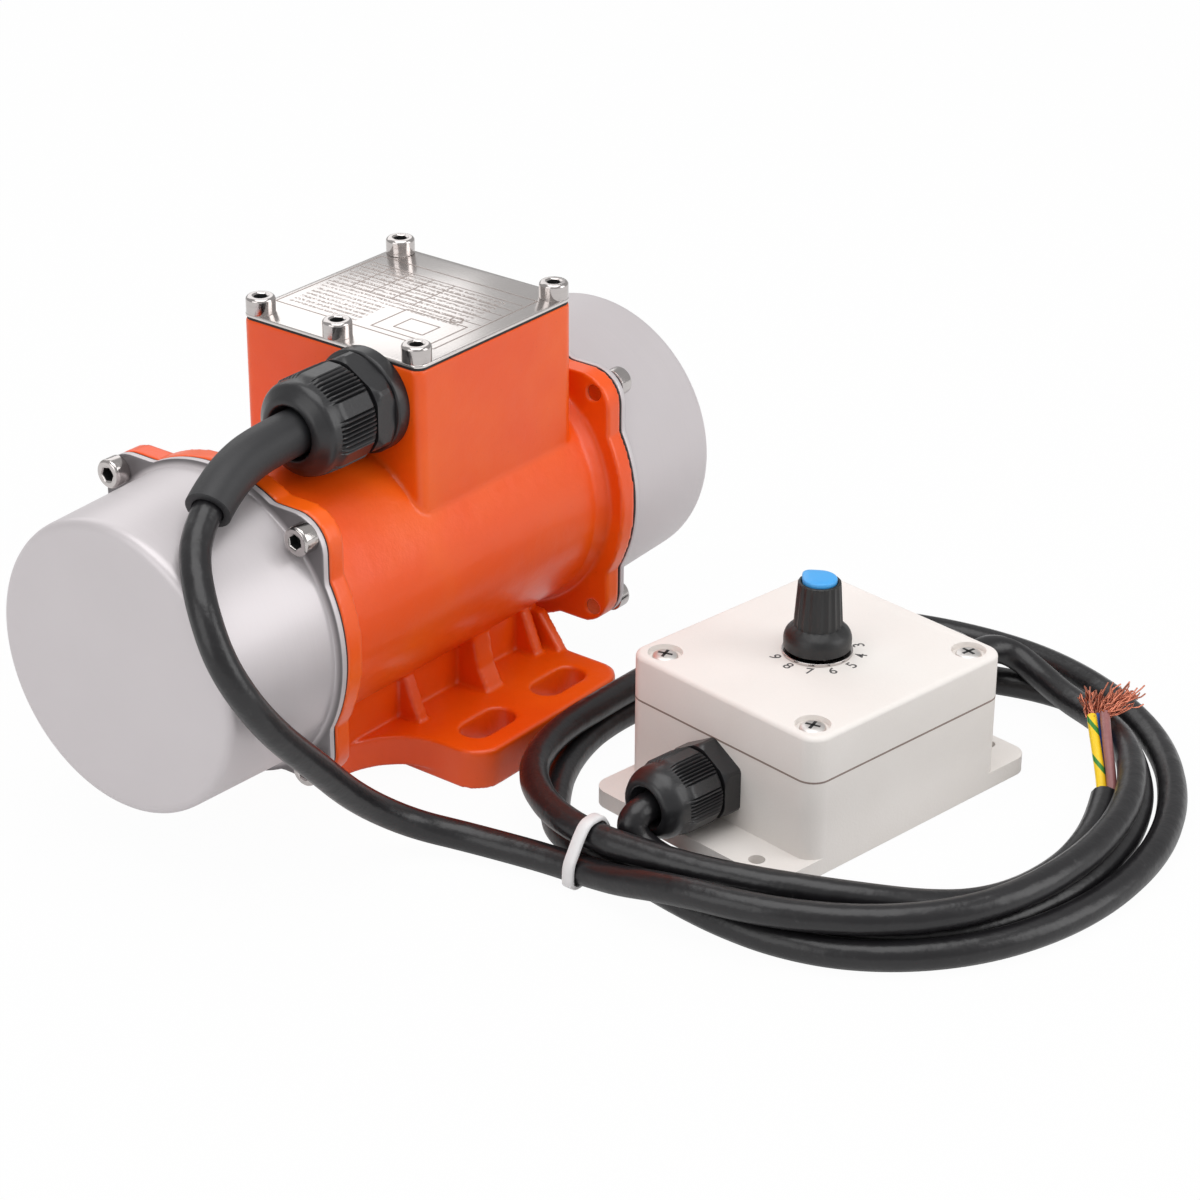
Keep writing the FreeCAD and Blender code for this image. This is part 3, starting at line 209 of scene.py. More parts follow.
finishes = {
    "paint": {"deep": colour(236, 80, 3), "light": colour(243, 96, 6), "rough": 0.34, "coat": 0.1,
              "grain": 1100},
    "cover": {"dark": colour(200, 194, 196), "light": colour(211, 205, 207), "rough": 0.4},
    "bright": {"dark": colour(176, 170, 168), "light": colour(216, 211, 209), "rough": 0.16},
    "plate": {"dark": colour(214, 208, 205), "light": colour(232, 227, 225), "rough": 0.2},
    "nylon": {"dark": colour(29, 29, 31), "light": colour(38, 38, 40), "rough": 0.36},
    "jacket": {"dark": colour(23, 22, 24), "light": colour(33, 32, 34), "rough": 0.31},
    "case": {"dark": colour(229, 223, 218), "light": colour(239, 234, 230), "rough": 0.5},
}


def paintShade():
    # thick orange paint: soft flow marks, a fine grain and a few dark specks
    look = finishes["paint"]
    shade = Shade("orangePaint")
    place = shade.place()
    grain = shade.noise(place, look["grain"], 2)
    flow = shade.noise(place, 95, 2)
    cast = shade.noise(place, 26, 3)
    tone = shade.mix(cast.step(0.35, 0.7), look["deep"], look["light"])
    speck = shade.noise(place, 2600, 1).step(0.72, 0.8)
    tone = shade.mix(speck * 0.25, tone, colour(150, 30, 6))
    return shade.finish(tone, [(flow, 0.0003), (grain, 0.00004)], rough=look["rough"] + (flow - 0.5) * 0.12,
                        coat=look["coat"], coatRough=0.12)


def turnedMetal(name, look, axis="X", lines=1.0, metal=0.9):
    # satin metal with fine lines round an axis: the noise is squeezed along that axis
    shade = Shade(name)
    stretch = {"X": (3000, 30, 30), "Z": (60, 60, 3000)}[axis]
    line = shade.noise(shade.place(stretch), 1.0, 2)
    cloud = shade.noise(shade.place(), 45, 3)
    fine = shade.noise(shade.place(), 2400, 2)
    tone = shade.mix(cloud * 0.6 + line * 0.4, look["dark"], look["light"])
    return shade.finish(tone, [(line, 0.00002 * lines), (fine, 0.00001)], metal=metal,
                        rough=look["rough"] + (line - 0.5) * 0.14 + (cloud - 0.5) * 0.1)


shaftLine = np.array((-13.2, 0, 47.7))  # mm
# the cover's face with painted shade, outside the drum: its radii from the shaft, and how far along from the
# motor's middle
coverShadedFace = {"start": 0.0350, "full": 0.0366, "inside": 0.05265, "outside": 0.0529}


def coverShade():
    # satin cast cover: turned lines round the shaft, and painted shade on the face outside the drum, on the
    # lip and ears
    look = finishes["cover"]
    shade = Shade("coverMetal")
    x, y, z = shade.axes()
    line = shade.noise(shade.place((3000, 30, 30)), 1.0, 2)
    cloud = shade.noise(shade.place(), 45, 3)
    reach = (y ** 2.0 + (z - shaftLine[2] * 0.001) ** 2.0) ** 0.5
    face = reach.step(coverShadedFace["start"], coverShadedFace["full"])
    face = face * abs(x - shaftLine[0] * 0.001).step(coverShadedFace["inside"], coverShadedFace["outside"])
    tone = shade.mix(cloud * 0.6 + line * 0.4, look["dark"], look["light"])
    # painted shade: the lip's and ears' face darkened towards a dark grey
    tone = shade.mix(face * (0.55 + 0.4 * cloud), tone, colour(58, 54, 56))
    return shade.finish(tone, [(line, 0.000012), (cloud, 0.00008)], metal=0.34, specular=0.5,
                        rough=look["rough"] + (line - 0.5) * 0.1 + (cloud - 0.5) * 0.08)


def plainMetal(name, tone, rough, scale=700):
    # metal with an even grain, darker by a fifth in its low places
    shade = Shade(name)
    grain = shade.noise(shade.place(), scale, 3)
    body = shade.mix(grain, tuple(part * 0.8 for part in tone), tone)
    return shade.finish(body, [(grain, 0.00004)], metal=1.0, rough=rough + (grain - 0.5) * 0.16)


def mouldedShade(name, dark, light, rough, grain=1400, depth=0.00003, coat=0.0):
    # moulded plastic or rubber: a fine grain on broad, faint clouds
    shade = Shade(name)
    place = shade.place()
    fine = shade.noise(place, grain, 3)
    cloud = shade.noise(place, 55, 2)
    tone = shade.mix(cloud * 0.7 + fine * 0.3, dark, light)
    return shade.finish(tone, [(fine, depth), (cloud, 0.00012)],
                        rough=rough + (fine - 0.5) * 0.12 + (cloud - 0.5) * 0.1, coat=coat, coatRough=0.15)


def jacketShade():
    # black jacket with slow waves from its making and pale scuffs
    look = finishes["jacket"]
    shade = Shade("cordJacket")
    place = shade.place()
    fine = shade.noise(place, 1800, 2)
    bend = shade.noise(place, 150, 3)
    scuff = shade.noise(place, 420, 4, 0.7).step(0.6, 0.78)
    tone = shade.mix(bend, look["dark"], look["light"])
    tone = shade.mix(scuff * 0.35, tone, colour(70, 68, 69))
    return shade.finish(tone, [(bend, 0.0004), (fine, 0.00002)],
                        rough=look["rough"] + scuff * 0.16 + (fine - 0.5) * 0.08)


def plateShade():
    # brushed plate with etched marks, which are darker, rougher and a little deeper
    look = finishes["plate"]
    shade = Shade("etchedPlate")
    x, y, z = shade.axes()
    brush = shade.noise(shade.place((60, 2600, 60)), 1.0, 2)
    cloud = shade.noise(shade.place(), 40, 2)
    line = 0.00016
    soft = 0.00008

    def box(midX, midY, halfX, halfY):
        # the outline of a rectangle: two lines across x and two across y
        offX, offY = abs(x - midX), abs(y - midY)
        across = offX.band(halfX, line, soft) * (1 - offY.step(halfY, halfY + 0.0001))
        return across + offY.band(halfY, line, soft) * (1 - offX.step(halfX, halfX + 0.0001))

    # a frame, a ruled table, a small drawing with a ring, and rows of short dashes
    marks = box(0.0012, 0.0015, 0.0183, 0.0235) + box(-0.0088, -0.0108, 0.0062, 0.0088)
    marks = marks + box(-0.0094, -0.0106, 0.0030, 0.0042)
    for row in (0.0152, 0.0114, 0.0076, 0.0038, 0.0):
        marks = marks + x.band(row, line * 0.7, soft) * abs(y - 0.0015).band(0.0, 0.0228, soft)
    for column in (0.0178, 0.0118, 0.0052, -0.0012):
        marks = marks + y.band(column, line * 0.7, soft) * abs(x - 0.0076).band(0.0, 0.0076, soft)
    ring = ((x + 0.0008) ** 2.0 + (y + 0.0150) ** 2.0) ** 0.5
    marks = marks + ring.band(0.0014, line, soft)
    dash = shade.noise(shade.place((1300, 1700, 0)), 1.0, 1).step(0.46, 0.5)
    rows = shade.math("SINE", x * (math.pi * 2 / 0.0019)).step(0.0, 0.3)
    words = abs(x - 0.0060).band(0.0, 0.0094, soft) * abs(y - 0.0030).band(0.0, 0.0205, soft)
    words = words + abs(x + 0.0095).band(0.0, 0.0055, soft) * abs(y - 0.0128).band(0.0, 0.0100, soft)
    marks = shade.math("MINIMUM", marks + dash * rows * words * 0.8, 1.0)
    tone = shade.mix(brush * 0.5 + cloud * 0.5, look["dark"], look["light"])
    tone = shade.mix(marks * 0.62, tone, colour(128, 104, 92))
    return shade.finish(tone, [(brush, 0.00001), (1 - marks, 0.00006)], metal=1.0,
                        rough=look["rough"] + marks * 0.3 + (cloud - 0.5) * 0.06)


def wireShade(name, dark, light, stripe=None):
    # a core's plastic; the stripe is where a sine wave along one slanting direction is near its top
    shade = Shade(name)
    place = shade.place()
    fine = shade.noise(place, 900, 2)
    tone = shade.mix(fine, dark, light)
    if stripe:
        x, y, z = shade.axes()
        wave = shade.math("SINE", (x * 0.9 - y * 0.7 + z * 1.0) * 900)
        tone = shade.mix(wave.step(0.78, 0.86), tone, stripe)
    return shade.finish(tone, [(fine, 0.00003)], rough=0.3 + fine * 0.1, coat=0.2, coatRough=0.2)


paint = paintShade()
coverMetal = coverShade()
brightSteel = turnedMetal("brightSteel", finishes["bright"], "Z", 0.4, 1.0)
plateMetal = plateShade()
nylon = mouldedShade("blackNylon", finishes["nylon"]["dark"], finishes["nylon"]["light"],
                     finishes["nylon"]["rough"], coat=0.15)
sleeveRubber = mouldedShade("sleeveRubber", colour(34, 34, 36), colour(44, 44, 46), 0.5)
# black rubber, also used for the painted shade in the screws' wells and slots
blackRubberAndShade = mouldedShade("blackRubberAndShade", colour(24, 24, 25), colour(34, 34, 35), 0.6)
jacket = jacketShade()
# grey for the painted shade along the case's seam
seamShadeGrey = mouldedShade("seamShadeGrey", colour(132, 116, 108), colour(152, 136, 128), 0.6)
caseShell = mouldedShade("caseShell", finishes["case"]["dark"], finishes["case"]["light"],
                         finishes["case"]["rough"], 1900, 0.00004)
knobBlack = mouldedShade("knobBlack", colour(22, 22, 23), colour(32, 32, 33), 0.42, 2200, 0.00003)
knobBlue = mouldedShade("knobBlue", colour(60, 154, 228), colour(82, 178, 238), 0.35)
tieNylon = mouldedShade("tieNylon", colour(214, 212, 212), colour(236, 235, 236), 0.4, 900)
inkGrey = mouldedShade("inkGrey", colour(70, 68, 68), colour(92, 90, 90), 0.6)
boardGreen = mouldedShade("boardGreen", colour(16, 84, 40), colour(26, 112, 56), 0.45)
partGrey = mouldedShade("partGrey", colour(110, 112, 118), colour(140, 142, 148), 0.5)
terminalCream = mouldedShade("terminalCream", colour(214, 208, 190), colour(230, 225, 208), 0.45)
steelPlain = plainMetal("steelPlain", colour(190, 190, 192), 0.28)
screwMetal = plainMetal("screwMetal", colour(236, 232, 229), 0.42)
castAlloy = plainMetal("castAlloy", colour(186, 187, 190), 0.45, 300)
laminated = turnedMetal("laminatedSteel", {"dark": colour(120, 122, 126), "light": colour(165, 167, 170),
                                           "rough": 0.4}, "X", 4)
copperWound = turnedMetal("copperWinding", {"dark": colour(150, 70, 36), "light": colour(206, 112, 62),
                                            "rough": 0.36}, "X", 8, 0.9)
brassMetal = plainMetal("brassMetal", colour(205, 165, 95), 0.3)
copperBare = plainMetal("copperBare", colour(198, 122, 98), 0.36, 1200)
wireYellow = wireShade("wireYellowGreen", colour(240, 196, 10), colour(250, 210, 20), colour(46, 128, 40))
wireBrown = wireShade("wireBrown", colour(134, 84, 84), colour(158, 104, 102))
wireBlue = wireShade("wireBlue", colour(28, 66, 140), colour(44, 88, 168))
print("stage: finishes")

# cords
# the routes' points, in metres. motorRoute leaves the motor's gland, comes down to the floor and runs round
# the coil into the case's far gland; supplyRoute leaves the near gland and makes the coil's turns up to the
# bare end
cordSizes = {"radius": 0.0034}
motorRoute = [
    (-0.046, -0.0115, 0.0903), (-0.0586, -0.0116, 0.0904), (-0.0711, -0.0126, 0.0893),
    (-0.0829, -0.0154, 0.0845), (-0.0906, -0.0189, 0.0802), (-0.0962, -0.0243, 0.0768),
    (-0.1006, -0.0306, 0.0712), (-0.1023, -0.0362, 0.063), (-0.0994, -0.0404, 0.0535),
    (-0.0914, -0.0412, 0.0424), (-0.081, -0.0418, 0.0312), (-0.0715, -0.0419, 0.0206),
    (-0.0628, -0.0432, 0.0126), (-0.0548, -0.0474, 0.0066), (-0.0492, -0.0552, 0.0042),
    (-0.046, -0.066, 0.0035), (-0.0444, -0.076, 0.0036), (-0.0438, -0.086, 0.0039),
    (-0.045, -0.0955, 0.0058), (-0.0456, -0.1055, 0.0086), (-0.0454, -0.116, 0.0104),
    (-0.0434, -0.127, 0.0106), (-0.039, -0.1385, 0.0105), (-0.0315, -0.1505, 0.0103),
    (-0.0215, -0.1608, 0.0103), (-0.0085, -0.1684, 0.0103), (0.006, -0.172, 0.0103),
    (0.021, -0.1729, 0.0103), (0.0355, -0.1712, 0.0103), (0.049, -0.1672, 0.0103),
    (0.0615, -0.1606, 0.0102), (0.0718, -0.1516, 0.0096), (0.0792, -0.141, 0.0082), (0.0842, -0.13, 0.0074),
    (0.0882, -0.12, 0.009), (0.089, -0.1122, 0.0118), (0.0842, -0.1083, 0.0139), (0.0776, -0.1075, 0.0139),
    (0.0716, -0.1066, 0.0138),
]
supplyRoute = [
    (-0.024, -0.0902, 0.0138), (-0.0294, -0.0894, 0.0138), (-0.0324, -0.0889, 0.0114),
    (-0.0314, -0.0912, 0.0068), (-0.0296, -0.0975, 0.0036), (-0.0302, -0.108, 0.0034),
    (-0.032, -0.12, 0.0034), (-0.032, -0.133, 0.0034), (-0.0285, -0.146, 0.0034),
    (-0.0205, -0.1574, 0.0034), (-0.0095, -0.1656, 0.0034), (0.004, -0.1706, 0.0034),
    (0.019, -0.1729, 0.0034), (0.034, -0.1722, 0.0034), (0.0485, -0.1689, 0.0034),
    (0.0625, -0.1626, 0.0034), (0.0756, -0.1526, 0.0034), (0.0856, -0.141, 0.0034),
    (0.0916, -0.1302, 0.0034), (0.0912, -0.119, 0.0034), (0.0882, -0.1085, 0.0034),
    (0.0844, -0.0985, 0.0034), (0.08, -0.0885, 0.0034), (0.0745, -0.0785, 0.0034), (0.0665, -0.069, 0.0034),
    (0.056, -0.061, 0.0034), (0.044, -0.0546, 0.0034), (0.032, -0.0502, 0.0034), (0.02, -0.048, 0.0034),
    (0.008, -0.0482, 0.0034), (-0.003, -0.0506, 0.0034), (-0.0134, -0.0549, 0.0034),
    (-0.0224, -0.0604, 0.0034), (-0.0298, -0.066, 0.0034), (-0.0344, -0.0725, 0.0034),
    (-0.0364, -0.08, 0.0035), (-0.0368, -0.088, 0.0035), (-0.0382, -0.098, 0.0034),
    (-0.0402, -0.109, 0.0034), (-0.0414, -0.121, 0.0034), (-0.0408, -0.134, 0.0034),
    (-0.0366, -0.1475, 0.0034), (-0.0278, -0.16, 0.0034), (-0.0155, -0.17, 0.0034),
    (-0.0005, -0.1766, 0.0034), (0.015, -0.1798, 0.0034), (0.031, -0.18, 0.0034), (0.047, -0.1772, 0.0034),
    (0.062, -0.1714, 0.0034), (0.076, -0.1626, 0.0034), (0.088, -0.151, 0.0034), (0.0966, -0.1375, 0.0034),
    (0.102, -0.124, 0.0034), (0.1046, -0.111, 0.0034), (0.1044, -0.098, 0.0035), (0.101, -0.084, 0.004),
    (0.094, -0.071, 0.005), (0.0835, -0.0615, 0.0066), (0.07, -0.054, 0.0084), (0.0545, -0.0508, 0.0098),
    (0.039, -0.05, 0.0104), (0.024, -0.0494, 0.0104), (0.01, -0.049, 0.0104), (-0.0035, -0.049, 0.0104),
    (-0.0155, -0.0513, 0.0104), (-0.026, -0.0564, 0.0104), (-0.034, -0.0655, 0.0104),
    (-0.0386, -0.076, 0.0104), (-0.0398, -0.087, 0.0104), (-0.039, -0.098, 0.0105),
    (-0.0374, -0.109, 0.0104), (-0.0342, -0.121, 0.0104), (-0.0296, -0.1325, 0.0102),
    (-0.0228, -0.1436, 0.009), (-0.014, -0.153, 0.0066), (-0.004, -0.1596, 0.0044), (0.007, -0.164, 0.0035),
    (0.02, -0.166, 0.0034), (0.0325, -0.1652, 0.0036), (0.0435, -0.1628, 0.0046), (0.051, -0.1598, 0.0058),
]


def cordPiece(name, route, radius, material):
    # one smooth spline with the route's points as its control points, given a round section
    data = bpy.data.curves.new(name, "CURVE")
    data.dimensions = "3D"
    spline = data.splines.new("NURBS")
    spline.points.add(len(route) - 1)
    spline.points.foreach_set("co", np.c_[np.array(route), np.ones(len(route))].ravel())
    spline.order_u = 3
    spline.use_endpoint_u = True
    spline.use_smooth = True
    data.resolution_u = 8
    data.bevel_depth = radius
    data.bevel_resolution = 5
    data.use_fill_caps = True
    data.materials.append(material)
    piece = placed(name, data)
    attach(piece, "motor")
    return piece


def splinePoints(piece):
    # points along a curve object's own line, read from it without its section
    data = piece.data.copy()
    data.bevel_depth = 0
    return meshPoints(madeMesh(placed("bareLine", data)))


motorCord = cordPiece("motorCord", motorRoute, cordSizes["radius"], jacket)
supplyCord = cordPiece("supplyCord", supplyRoute, cordSizes["radius"], jacket)
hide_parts("motor_cord", "control_cord")
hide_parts("supply_cord", "cord_tail", "cord_coil")
print("stage: cords")


# mesh tools, sizes in mm
def unit(vector):
    vector = np.asarray(vector, float)
    return vector / np.linalg.norm(vector)


def skin(rings, capped=False, loop=False):
    # each ring of points joins the next with four-sided faces; capped closes the two end rings, and loop
    # joins the last ring to the first
    count, around = rings.shape[:2]
    row = np.arange(count if loop else count - 1)[:, None] * around
    ahead = (row + around) % (count * around)
    col = np.arange(around)[None, :]
    after = (col + 1) % around
    faces = np.stack([row + col, row + after, ahead + after, ahead + col], -1).reshape(-1, 4).tolist()
    if capped:
        faces += [list(range(around))[::-1], list(range((count - 1) * around, count * around))]
    return rings.reshape(-1, 3), faces


def joined(parts):
    # several shapes as one, each one's corner numbers moved past the last one's
    points, faces, start = [], [], 0
    for spots, sides in parts:
        points.append(spots)
        faces += [[corner + start for corner in side] for side in sides]
        start += len(spots)
    return np.concatenate(points), faces


def eased(corners, steps=6):
    # a line of (radius, height, ease): each corner becomes a short curve that starts ease away from it
    line = []
    for index, (radius, height, ease) in enumerate(corners):
        corner = np.array((radius, height), float)
        if ease <= 0 or index in (0, len(corners) - 1):
            line.append(corner)
            continue
        back = np.array(corners[index - 1][:2]) - corner
        ahead = np.array(corners[index + 1][:2]) - corner
        ease = min(ease, np.linalg.norm(back) * 0.49, np.linalg.norm(ahead) * 0.49)
        start, end = corner + unit(back) * ease, corner + unit(ahead) * ease
        for part in np.linspace(0, 1, steps):
            line.append((1 - part) ** 2 * start + 2 * part * (1 - part) * corner + part ** 2 * end)
    return line


def turned(profile, middle, along, start, form=None, shares=None, count=96):
    # rings about a line: a ring's radius is its own times 1 + share * (form(angle) - 1)
    table = np.array([tuple(point) for point in profile], float)
    shares = np.zeros(len(table)) if shares is None else np.asarray(shares, float)
    angle = np.linspace(0, 2 * np.pi, count, endpoint=False)
    shape = form(angle) - 1 if form else 0 * angle
    radius = table[:, :1] * (1 + shares[:, None] * shape[None, :])
    along = unit(along)
    first = unit(np.asarray(start, float) - np.dot(start, along) * along)
    second = np.cross(along, first)
    spoke = np.cos(angle)[:, None] * first + np.sin(angle)[:, None] * second
    rings = np.asarray(middle, float) + table[:, 1][:, None, None] * along + radius[..., None] * spoke[None]
    return skin(rings, capped=bool(table[0, 0] > 1e-6 and table[-1, 0] > 1e-6))


def rectRing(halfX, halfY, corner, height, steps=9):
    # a rounded rectangle at one height: a quarter circle at each corner
    corner = max(corner, 0.02)
    turn = np.linspace(0, np.pi / 2, steps)
    spots = []
    for quarter, (sx, sy) in enumerate(((1, 1), (-1, 1), (-1, -1), (1, -1))):
        sweep = turn + quarter * np.pi / 2
        along = sx * (halfX - corner) + corner * np.cos(sweep)
        across = sy * (halfY - corner) + corner * np.sin(sweep)
        spots.append(np.c_[along, across])
    ring = np.concatenate(spots)
    return np.c_[ring, np.full(len(ring), height)]


def hexForm(angle, blunt=0.985):
    # six flats, with the corners taken off at blunt
    return np.minimum(math.cos(math.pi / 6) / np.cos((angle % (math.pi / 3)) - math.pi / 6), blunt)


def ribForm(angle):
    # six ribbed flats with six plain narrow ones between them: fine ribs run along the wide flats
    wide = 0.925 / np.cos(((angle + math.pi / 6) % (math.pi / 3)) - math.pi / 6)
    off = ((angle + math.pi / 6) % (math.pi / 3)) - math.pi / 6
    narrow = 0.972 / np.cos((angle % (math.pi / 3)) - math.pi / 6)
    ribs = 0.5 + 0.5 * np.cos(off * 66)
    inside = np.clip((0.375 - np.abs(off)) / 0.03, 0, 1)
    return np.minimum(wide - 0.085 * inside * (1 - ribs ** 0.6) + 0.03 * inside, narrow)


def addPiece(name, shape, body, material, replaced=(), sharp=38, merge=0.002):
    # a shape in mm made a mesh in metres, its doubles merged and its faces turned outwards
    points, faces = shape
    mesh = bpy.data.meshes.new(name)
    mesh.from_pydata((np.asarray(points) * 0.001).tolist(), [], faces)
    work = bmesh.new()
    work.from_mesh(mesh)
    bmesh.ops.remove_doubles(work, verts=work.verts, dist=merge * 0.001)
    bmesh.ops.recalc_face_normals(work, faces=work.faces)
    work.to_mesh(mesh)
    work.free()
    return setPiece(name, mesh, body, material, replaced, sharp)


def setPiece(name, mesh, body, material, replaced=(), sharp=38, bevel=None):
    # bevel is a width in mm and a number of segments
    mesh.shade_smooth()
    mesh.set_sharp_from_angle(angle=math.radians(sharp))
    mesh.materials.clear()
    mesh.materials.append(material)
    piece = placed(name, mesh)
    if bevel:
        edge = piece.modifiers.new("edges", "BEVEL")
        edge.width = bevel[0] * 0.001
        edge.segments = bevel[1]
        edge.limit_method = "ANGLE"
        edge.angle_limit = math.radians(32)
        edge.use_clamp_overlap = True
        edge.harden_normals = True
    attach(piece, body)
    if replaced:
        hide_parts(*replaced)
    return piece


def cleanCopy(node, flat=1.0):
    # a copy of a CAD node with its loose triangles joined and its flat faces made whole
    mesh = cadNodes[node].data.copy()
    work = bmesh.new()
    work.from_mesh(mesh)
    bmesh.ops.remove_doubles(work, verts=work.verts, dist=2e-6)
    if flat:
        bmesh.ops.dissolve_limit(work, angle_limit=math.radians(flat), verts=work.verts, edges=work.edges)
    work.to_mesh(mesh)
    work.free()
    return mesh


def softCopy(name, node, body, material, width, segments=3, sharp=30, flat=0.6):
    # a CAD node's own shape with its edges broken
    return setPiece(name, cleanCopy(node, flat), body, material, (node,), sharp, (width, segments))


# cast housing
casting = {"voxel": 0.66, "rounds": 3, "pull": 0.5, "most": 94000}


def modified(mesh, *steps):
    # a mesh after a list of modifiers, each with its settings
    piece = placed("castWork", mesh)
    for kind, settings in steps:
        step = piece.modifiers.new(kind.lower(), kind)
        for name, value in settings.items():
            setattr(step, name, value)
    return madeMesh(piece)


def castSkin(node):
    # the node's skin rebuilt in small even faces laid back on the node, then each point drawn towards the
    # mean of its neighbours and out again, which leaves every edge a little round; flat places lose the faces
    # that they don't need
    guide = placed("castGuide", cleanCopy(node, 0))
    mesh = modified(guide.data, ("REMESH", {"mode": "VOXEL", "voxel_size": casting["voxel"] * 0.001}),
                    ("SHRINKWRAP", {"target": guide, "wrap_method": "NEAREST_SURFACEPOINT"}))
    bpy.data.objects.remove(guide)
    spots = meshPoints(mesh)
    ends = np.empty(len(mesh.edges) * 2, int)
    mesh.edges.foreach_get("vertices", ends)
    ends = ends.reshape(-1, 2)
    both = np.concatenate([ends, ends[:, ::-1]])
    degree = np.bincount(both[:, 0], minlength=len(spots))[:, None]
    for number in range(casting["rounds"] * 2):
        sums = [np.bincount(both[:, 0], spots[both[:, 1], axis], len(spots)) for axis in range(3)]
        mean = np.stack(sums, -1) / degree
        spots = spots + (casting["pull"] if number % 2 == 0 else -casting["pull"] * 0.8) * (mean - spots)
    mesh.vertices.foreach_set("co", spots.ravel())
    mesh.update()
    faces = len(mesh.polygons) * 2
    return modified(mesh, ("DECIMATE", {"ratio": min(1.0, casting["most"] * 2 / faces)}))


housingCast = setPiece("housingCast", castSkin("housing"), "motor", paint, ("housing",), 180)
print("stage: housing", len(housingCast.data.polygons))

# end covers
covers = {"lip": 36.8, "ear": 32.3, "earRound": 8.0, "foot": 51.4, "lipTop": 53.0, "end": 85.3, "root": 35.0,
          "tip": 33.9, "wall": 1.8, "edge": 5.4}


def earForm(angle):
    # the larger of a circle and a square with round corners, over the circle's radius
    far = np.maximum(abs(np.cos(angle)), abs(np.sin(angle)))
    near = np.minimum(abs(np.cos(angle)), abs(np.sin(angle)))
    half, corner = covers["ear"], covers["earRound"]
    middle = half - corner
    along = middle * (far + near)
    curved = along + np.sqrt(np.maximum(along ** 2 - 2 * middle ** 2 + corner ** 2, 0))
    square = np.where(half * near / far <= middle, half / far, curved)
    return np.maximum(square, covers["lip"]) / covers["lip"]


def endCover(name, side, node):
    # one closed profile turned round the shaft: the drum, the lip and the hollow; only the lip has the ears
    wall, foot, top, end = covers["wall"], covers["foot"], covers["lipTop"], covers["end"]
    drum = eased([(0, end, 0), (28.5, end, 0), (covers["tip"], end - 0.05, covers["edge"]),
                  (covers["root"], top + 0.1, 0.5), (covers["root"] + 0.9, top, 0)], 9)
    lip = eased([(covers["lip"] - 0.9, top, 0), (covers["lip"], top, 0.45), (covers["lip"], foot, 0.2),
                 (covers["lip"] - 1.2, foot, 0)], 5)
    inner = eased([(covers["root"] - wall, foot, 0), (covers["tip"] - wall, end - wall, 3.5),
                   (0, end - wall, 0)], 7)
    shares = [0] * len(drum) + [1] * len(lip) + [0] * len(inner)
    shape = turned(drum + lip + inner, shaftLine, (side, 0, 0), (0, 1, 0), earForm, shares, 192)
    return addPiece(name, shape, "motor", coverMetal, (node,), 28)


endCover("nearCoverShell", -1, "near_cover")
endCover("farCoverShell", 1, "far_cover")

# socket head screws
headSizes = {"radius": 3.4, "high": 3.9, "key": 1.72, "keyDeep": 2.4, "shank": 2.0, "shadeCupIn": 1.66,
             "shadeCupOut": 1.70, "shadeCupTop": 3.58, "coverShank": 6.4, "lidShank": 8.6, "coverStep": 27.9}


def socketHead(middle, along, start, shank):
    # a profile turned round the screw's line; only the rings of the key's well are six-sided
    size = headSizes
    floor = size["high"] - size["keyDeep"]
    side = eased([(2.0, size["high"], 0), (2.05, size["high"] - 0.02, 0.05), (2.9, size["high"], 0.2),
                  (size["radius"], size["high"] - 0.45, 0.5), (size["radius"], 0.0, 0.12),
                  (size["shank"], 0, 0), (size["shank"], -shank, 0), (0, -shank, 0)], 5)
    well = [(0, floor), (size["key"], floor), (size["key"], size["high"] - 0.25),
            (size["key"] + 0.1, size["high"] - 0.1)]
    return turned(well + side, middle, along, start, lambda angle: hexForm(angle, 1.0),
                  [0, 1, 1, 0.8] + [0] * len(side), 72)


def keyLiner(middle, along, start):
    # a thin dark cup inside the well, painted shade so that the socket reads as deep
    floor = headSizes["high"] - headSizes["keyDeep"]
    top = headSizes["shadeCupTop"]
    inner, outer = headSizes["shadeCupIn"], headSizes["shadeCupOut"]
    table = [(0, floor + 0.03), (inner, floor + 0.03), (inner, top), (outer, top), (outer, floor - 0.02),
             (0, floor - 0.02)]
    return turned(table, middle, along, start, lambda angle: hexForm(angle, 1.0), [0, 1, 1, 1, 1, 0], 72)


# each head has its own turn, as screws have once they are tight
step = headSizes["coverStep"]
coverSpots = [(y * step, shaftLine[2] + z * step, 17 * y + 31 * z) for y in (-1, 1) for z in (-1, 1)]
coverHeads = (("nearCoverHeads", -1, "near_cover_screws"), ("farCoverHeads", 1, "far_cover_screws"))
for name, side, node in coverHeads:
    seat = shaftLine[0] + side * covers["lipTop"]
    places = [((seat, y, z), (0, math.cos(turn), math.sin(turn))) for y, z, turn in coverSpots]
    heads = [socketHead(spot, (side, 0, 0), start, headSizes["coverShank"]) for spot, start in places]
    # dark cups of painted shade inside the key wells
    wellShades = [keyLiner(spot, (side, 0, 0), start) for spot, start in places]
    addPiece(name, joined(heads), "motor", brightSteel, (node,), 34)
    addPiece(name + "Wells", joined(wellShades), "motor", blackRubberAndShade)

# terminal box plate and its screws
plate = {"halfX": 27.2, "halfY": 26.4, "corner": 2.5, "low": 100.4, "high": 101.2, "screwX": 24.1,
         "screwY": 23.1}
boxSides = ((-1, -1), (-1, 1), (1, -1), (1, 1), (-1, 0))
boxSpots = [(x * plate["screwX"], y * plate["screwY"]) for x, y in boxSides]
places = [((x, y, plate["high"]), (math.cos(x + y), math.sin(x + y), 0)) for x, y in boxSpots]
heads = [socketHead(spot, (0, 0, 1), start, headSizes["lidShank"]) for spot, start in places]
# dark cups of painted shade inside the key wells
wellShades = [keyLiner(spot, (0, 0, 1), start) for spot, start in places]
addPiece("lidHeads", joined(heads), "motor", brightSteel, ("terminal_plate_screws",), 34)
addPiece("lidHeadWells", joined(wellShades), "motor", blackRubberAndShade)
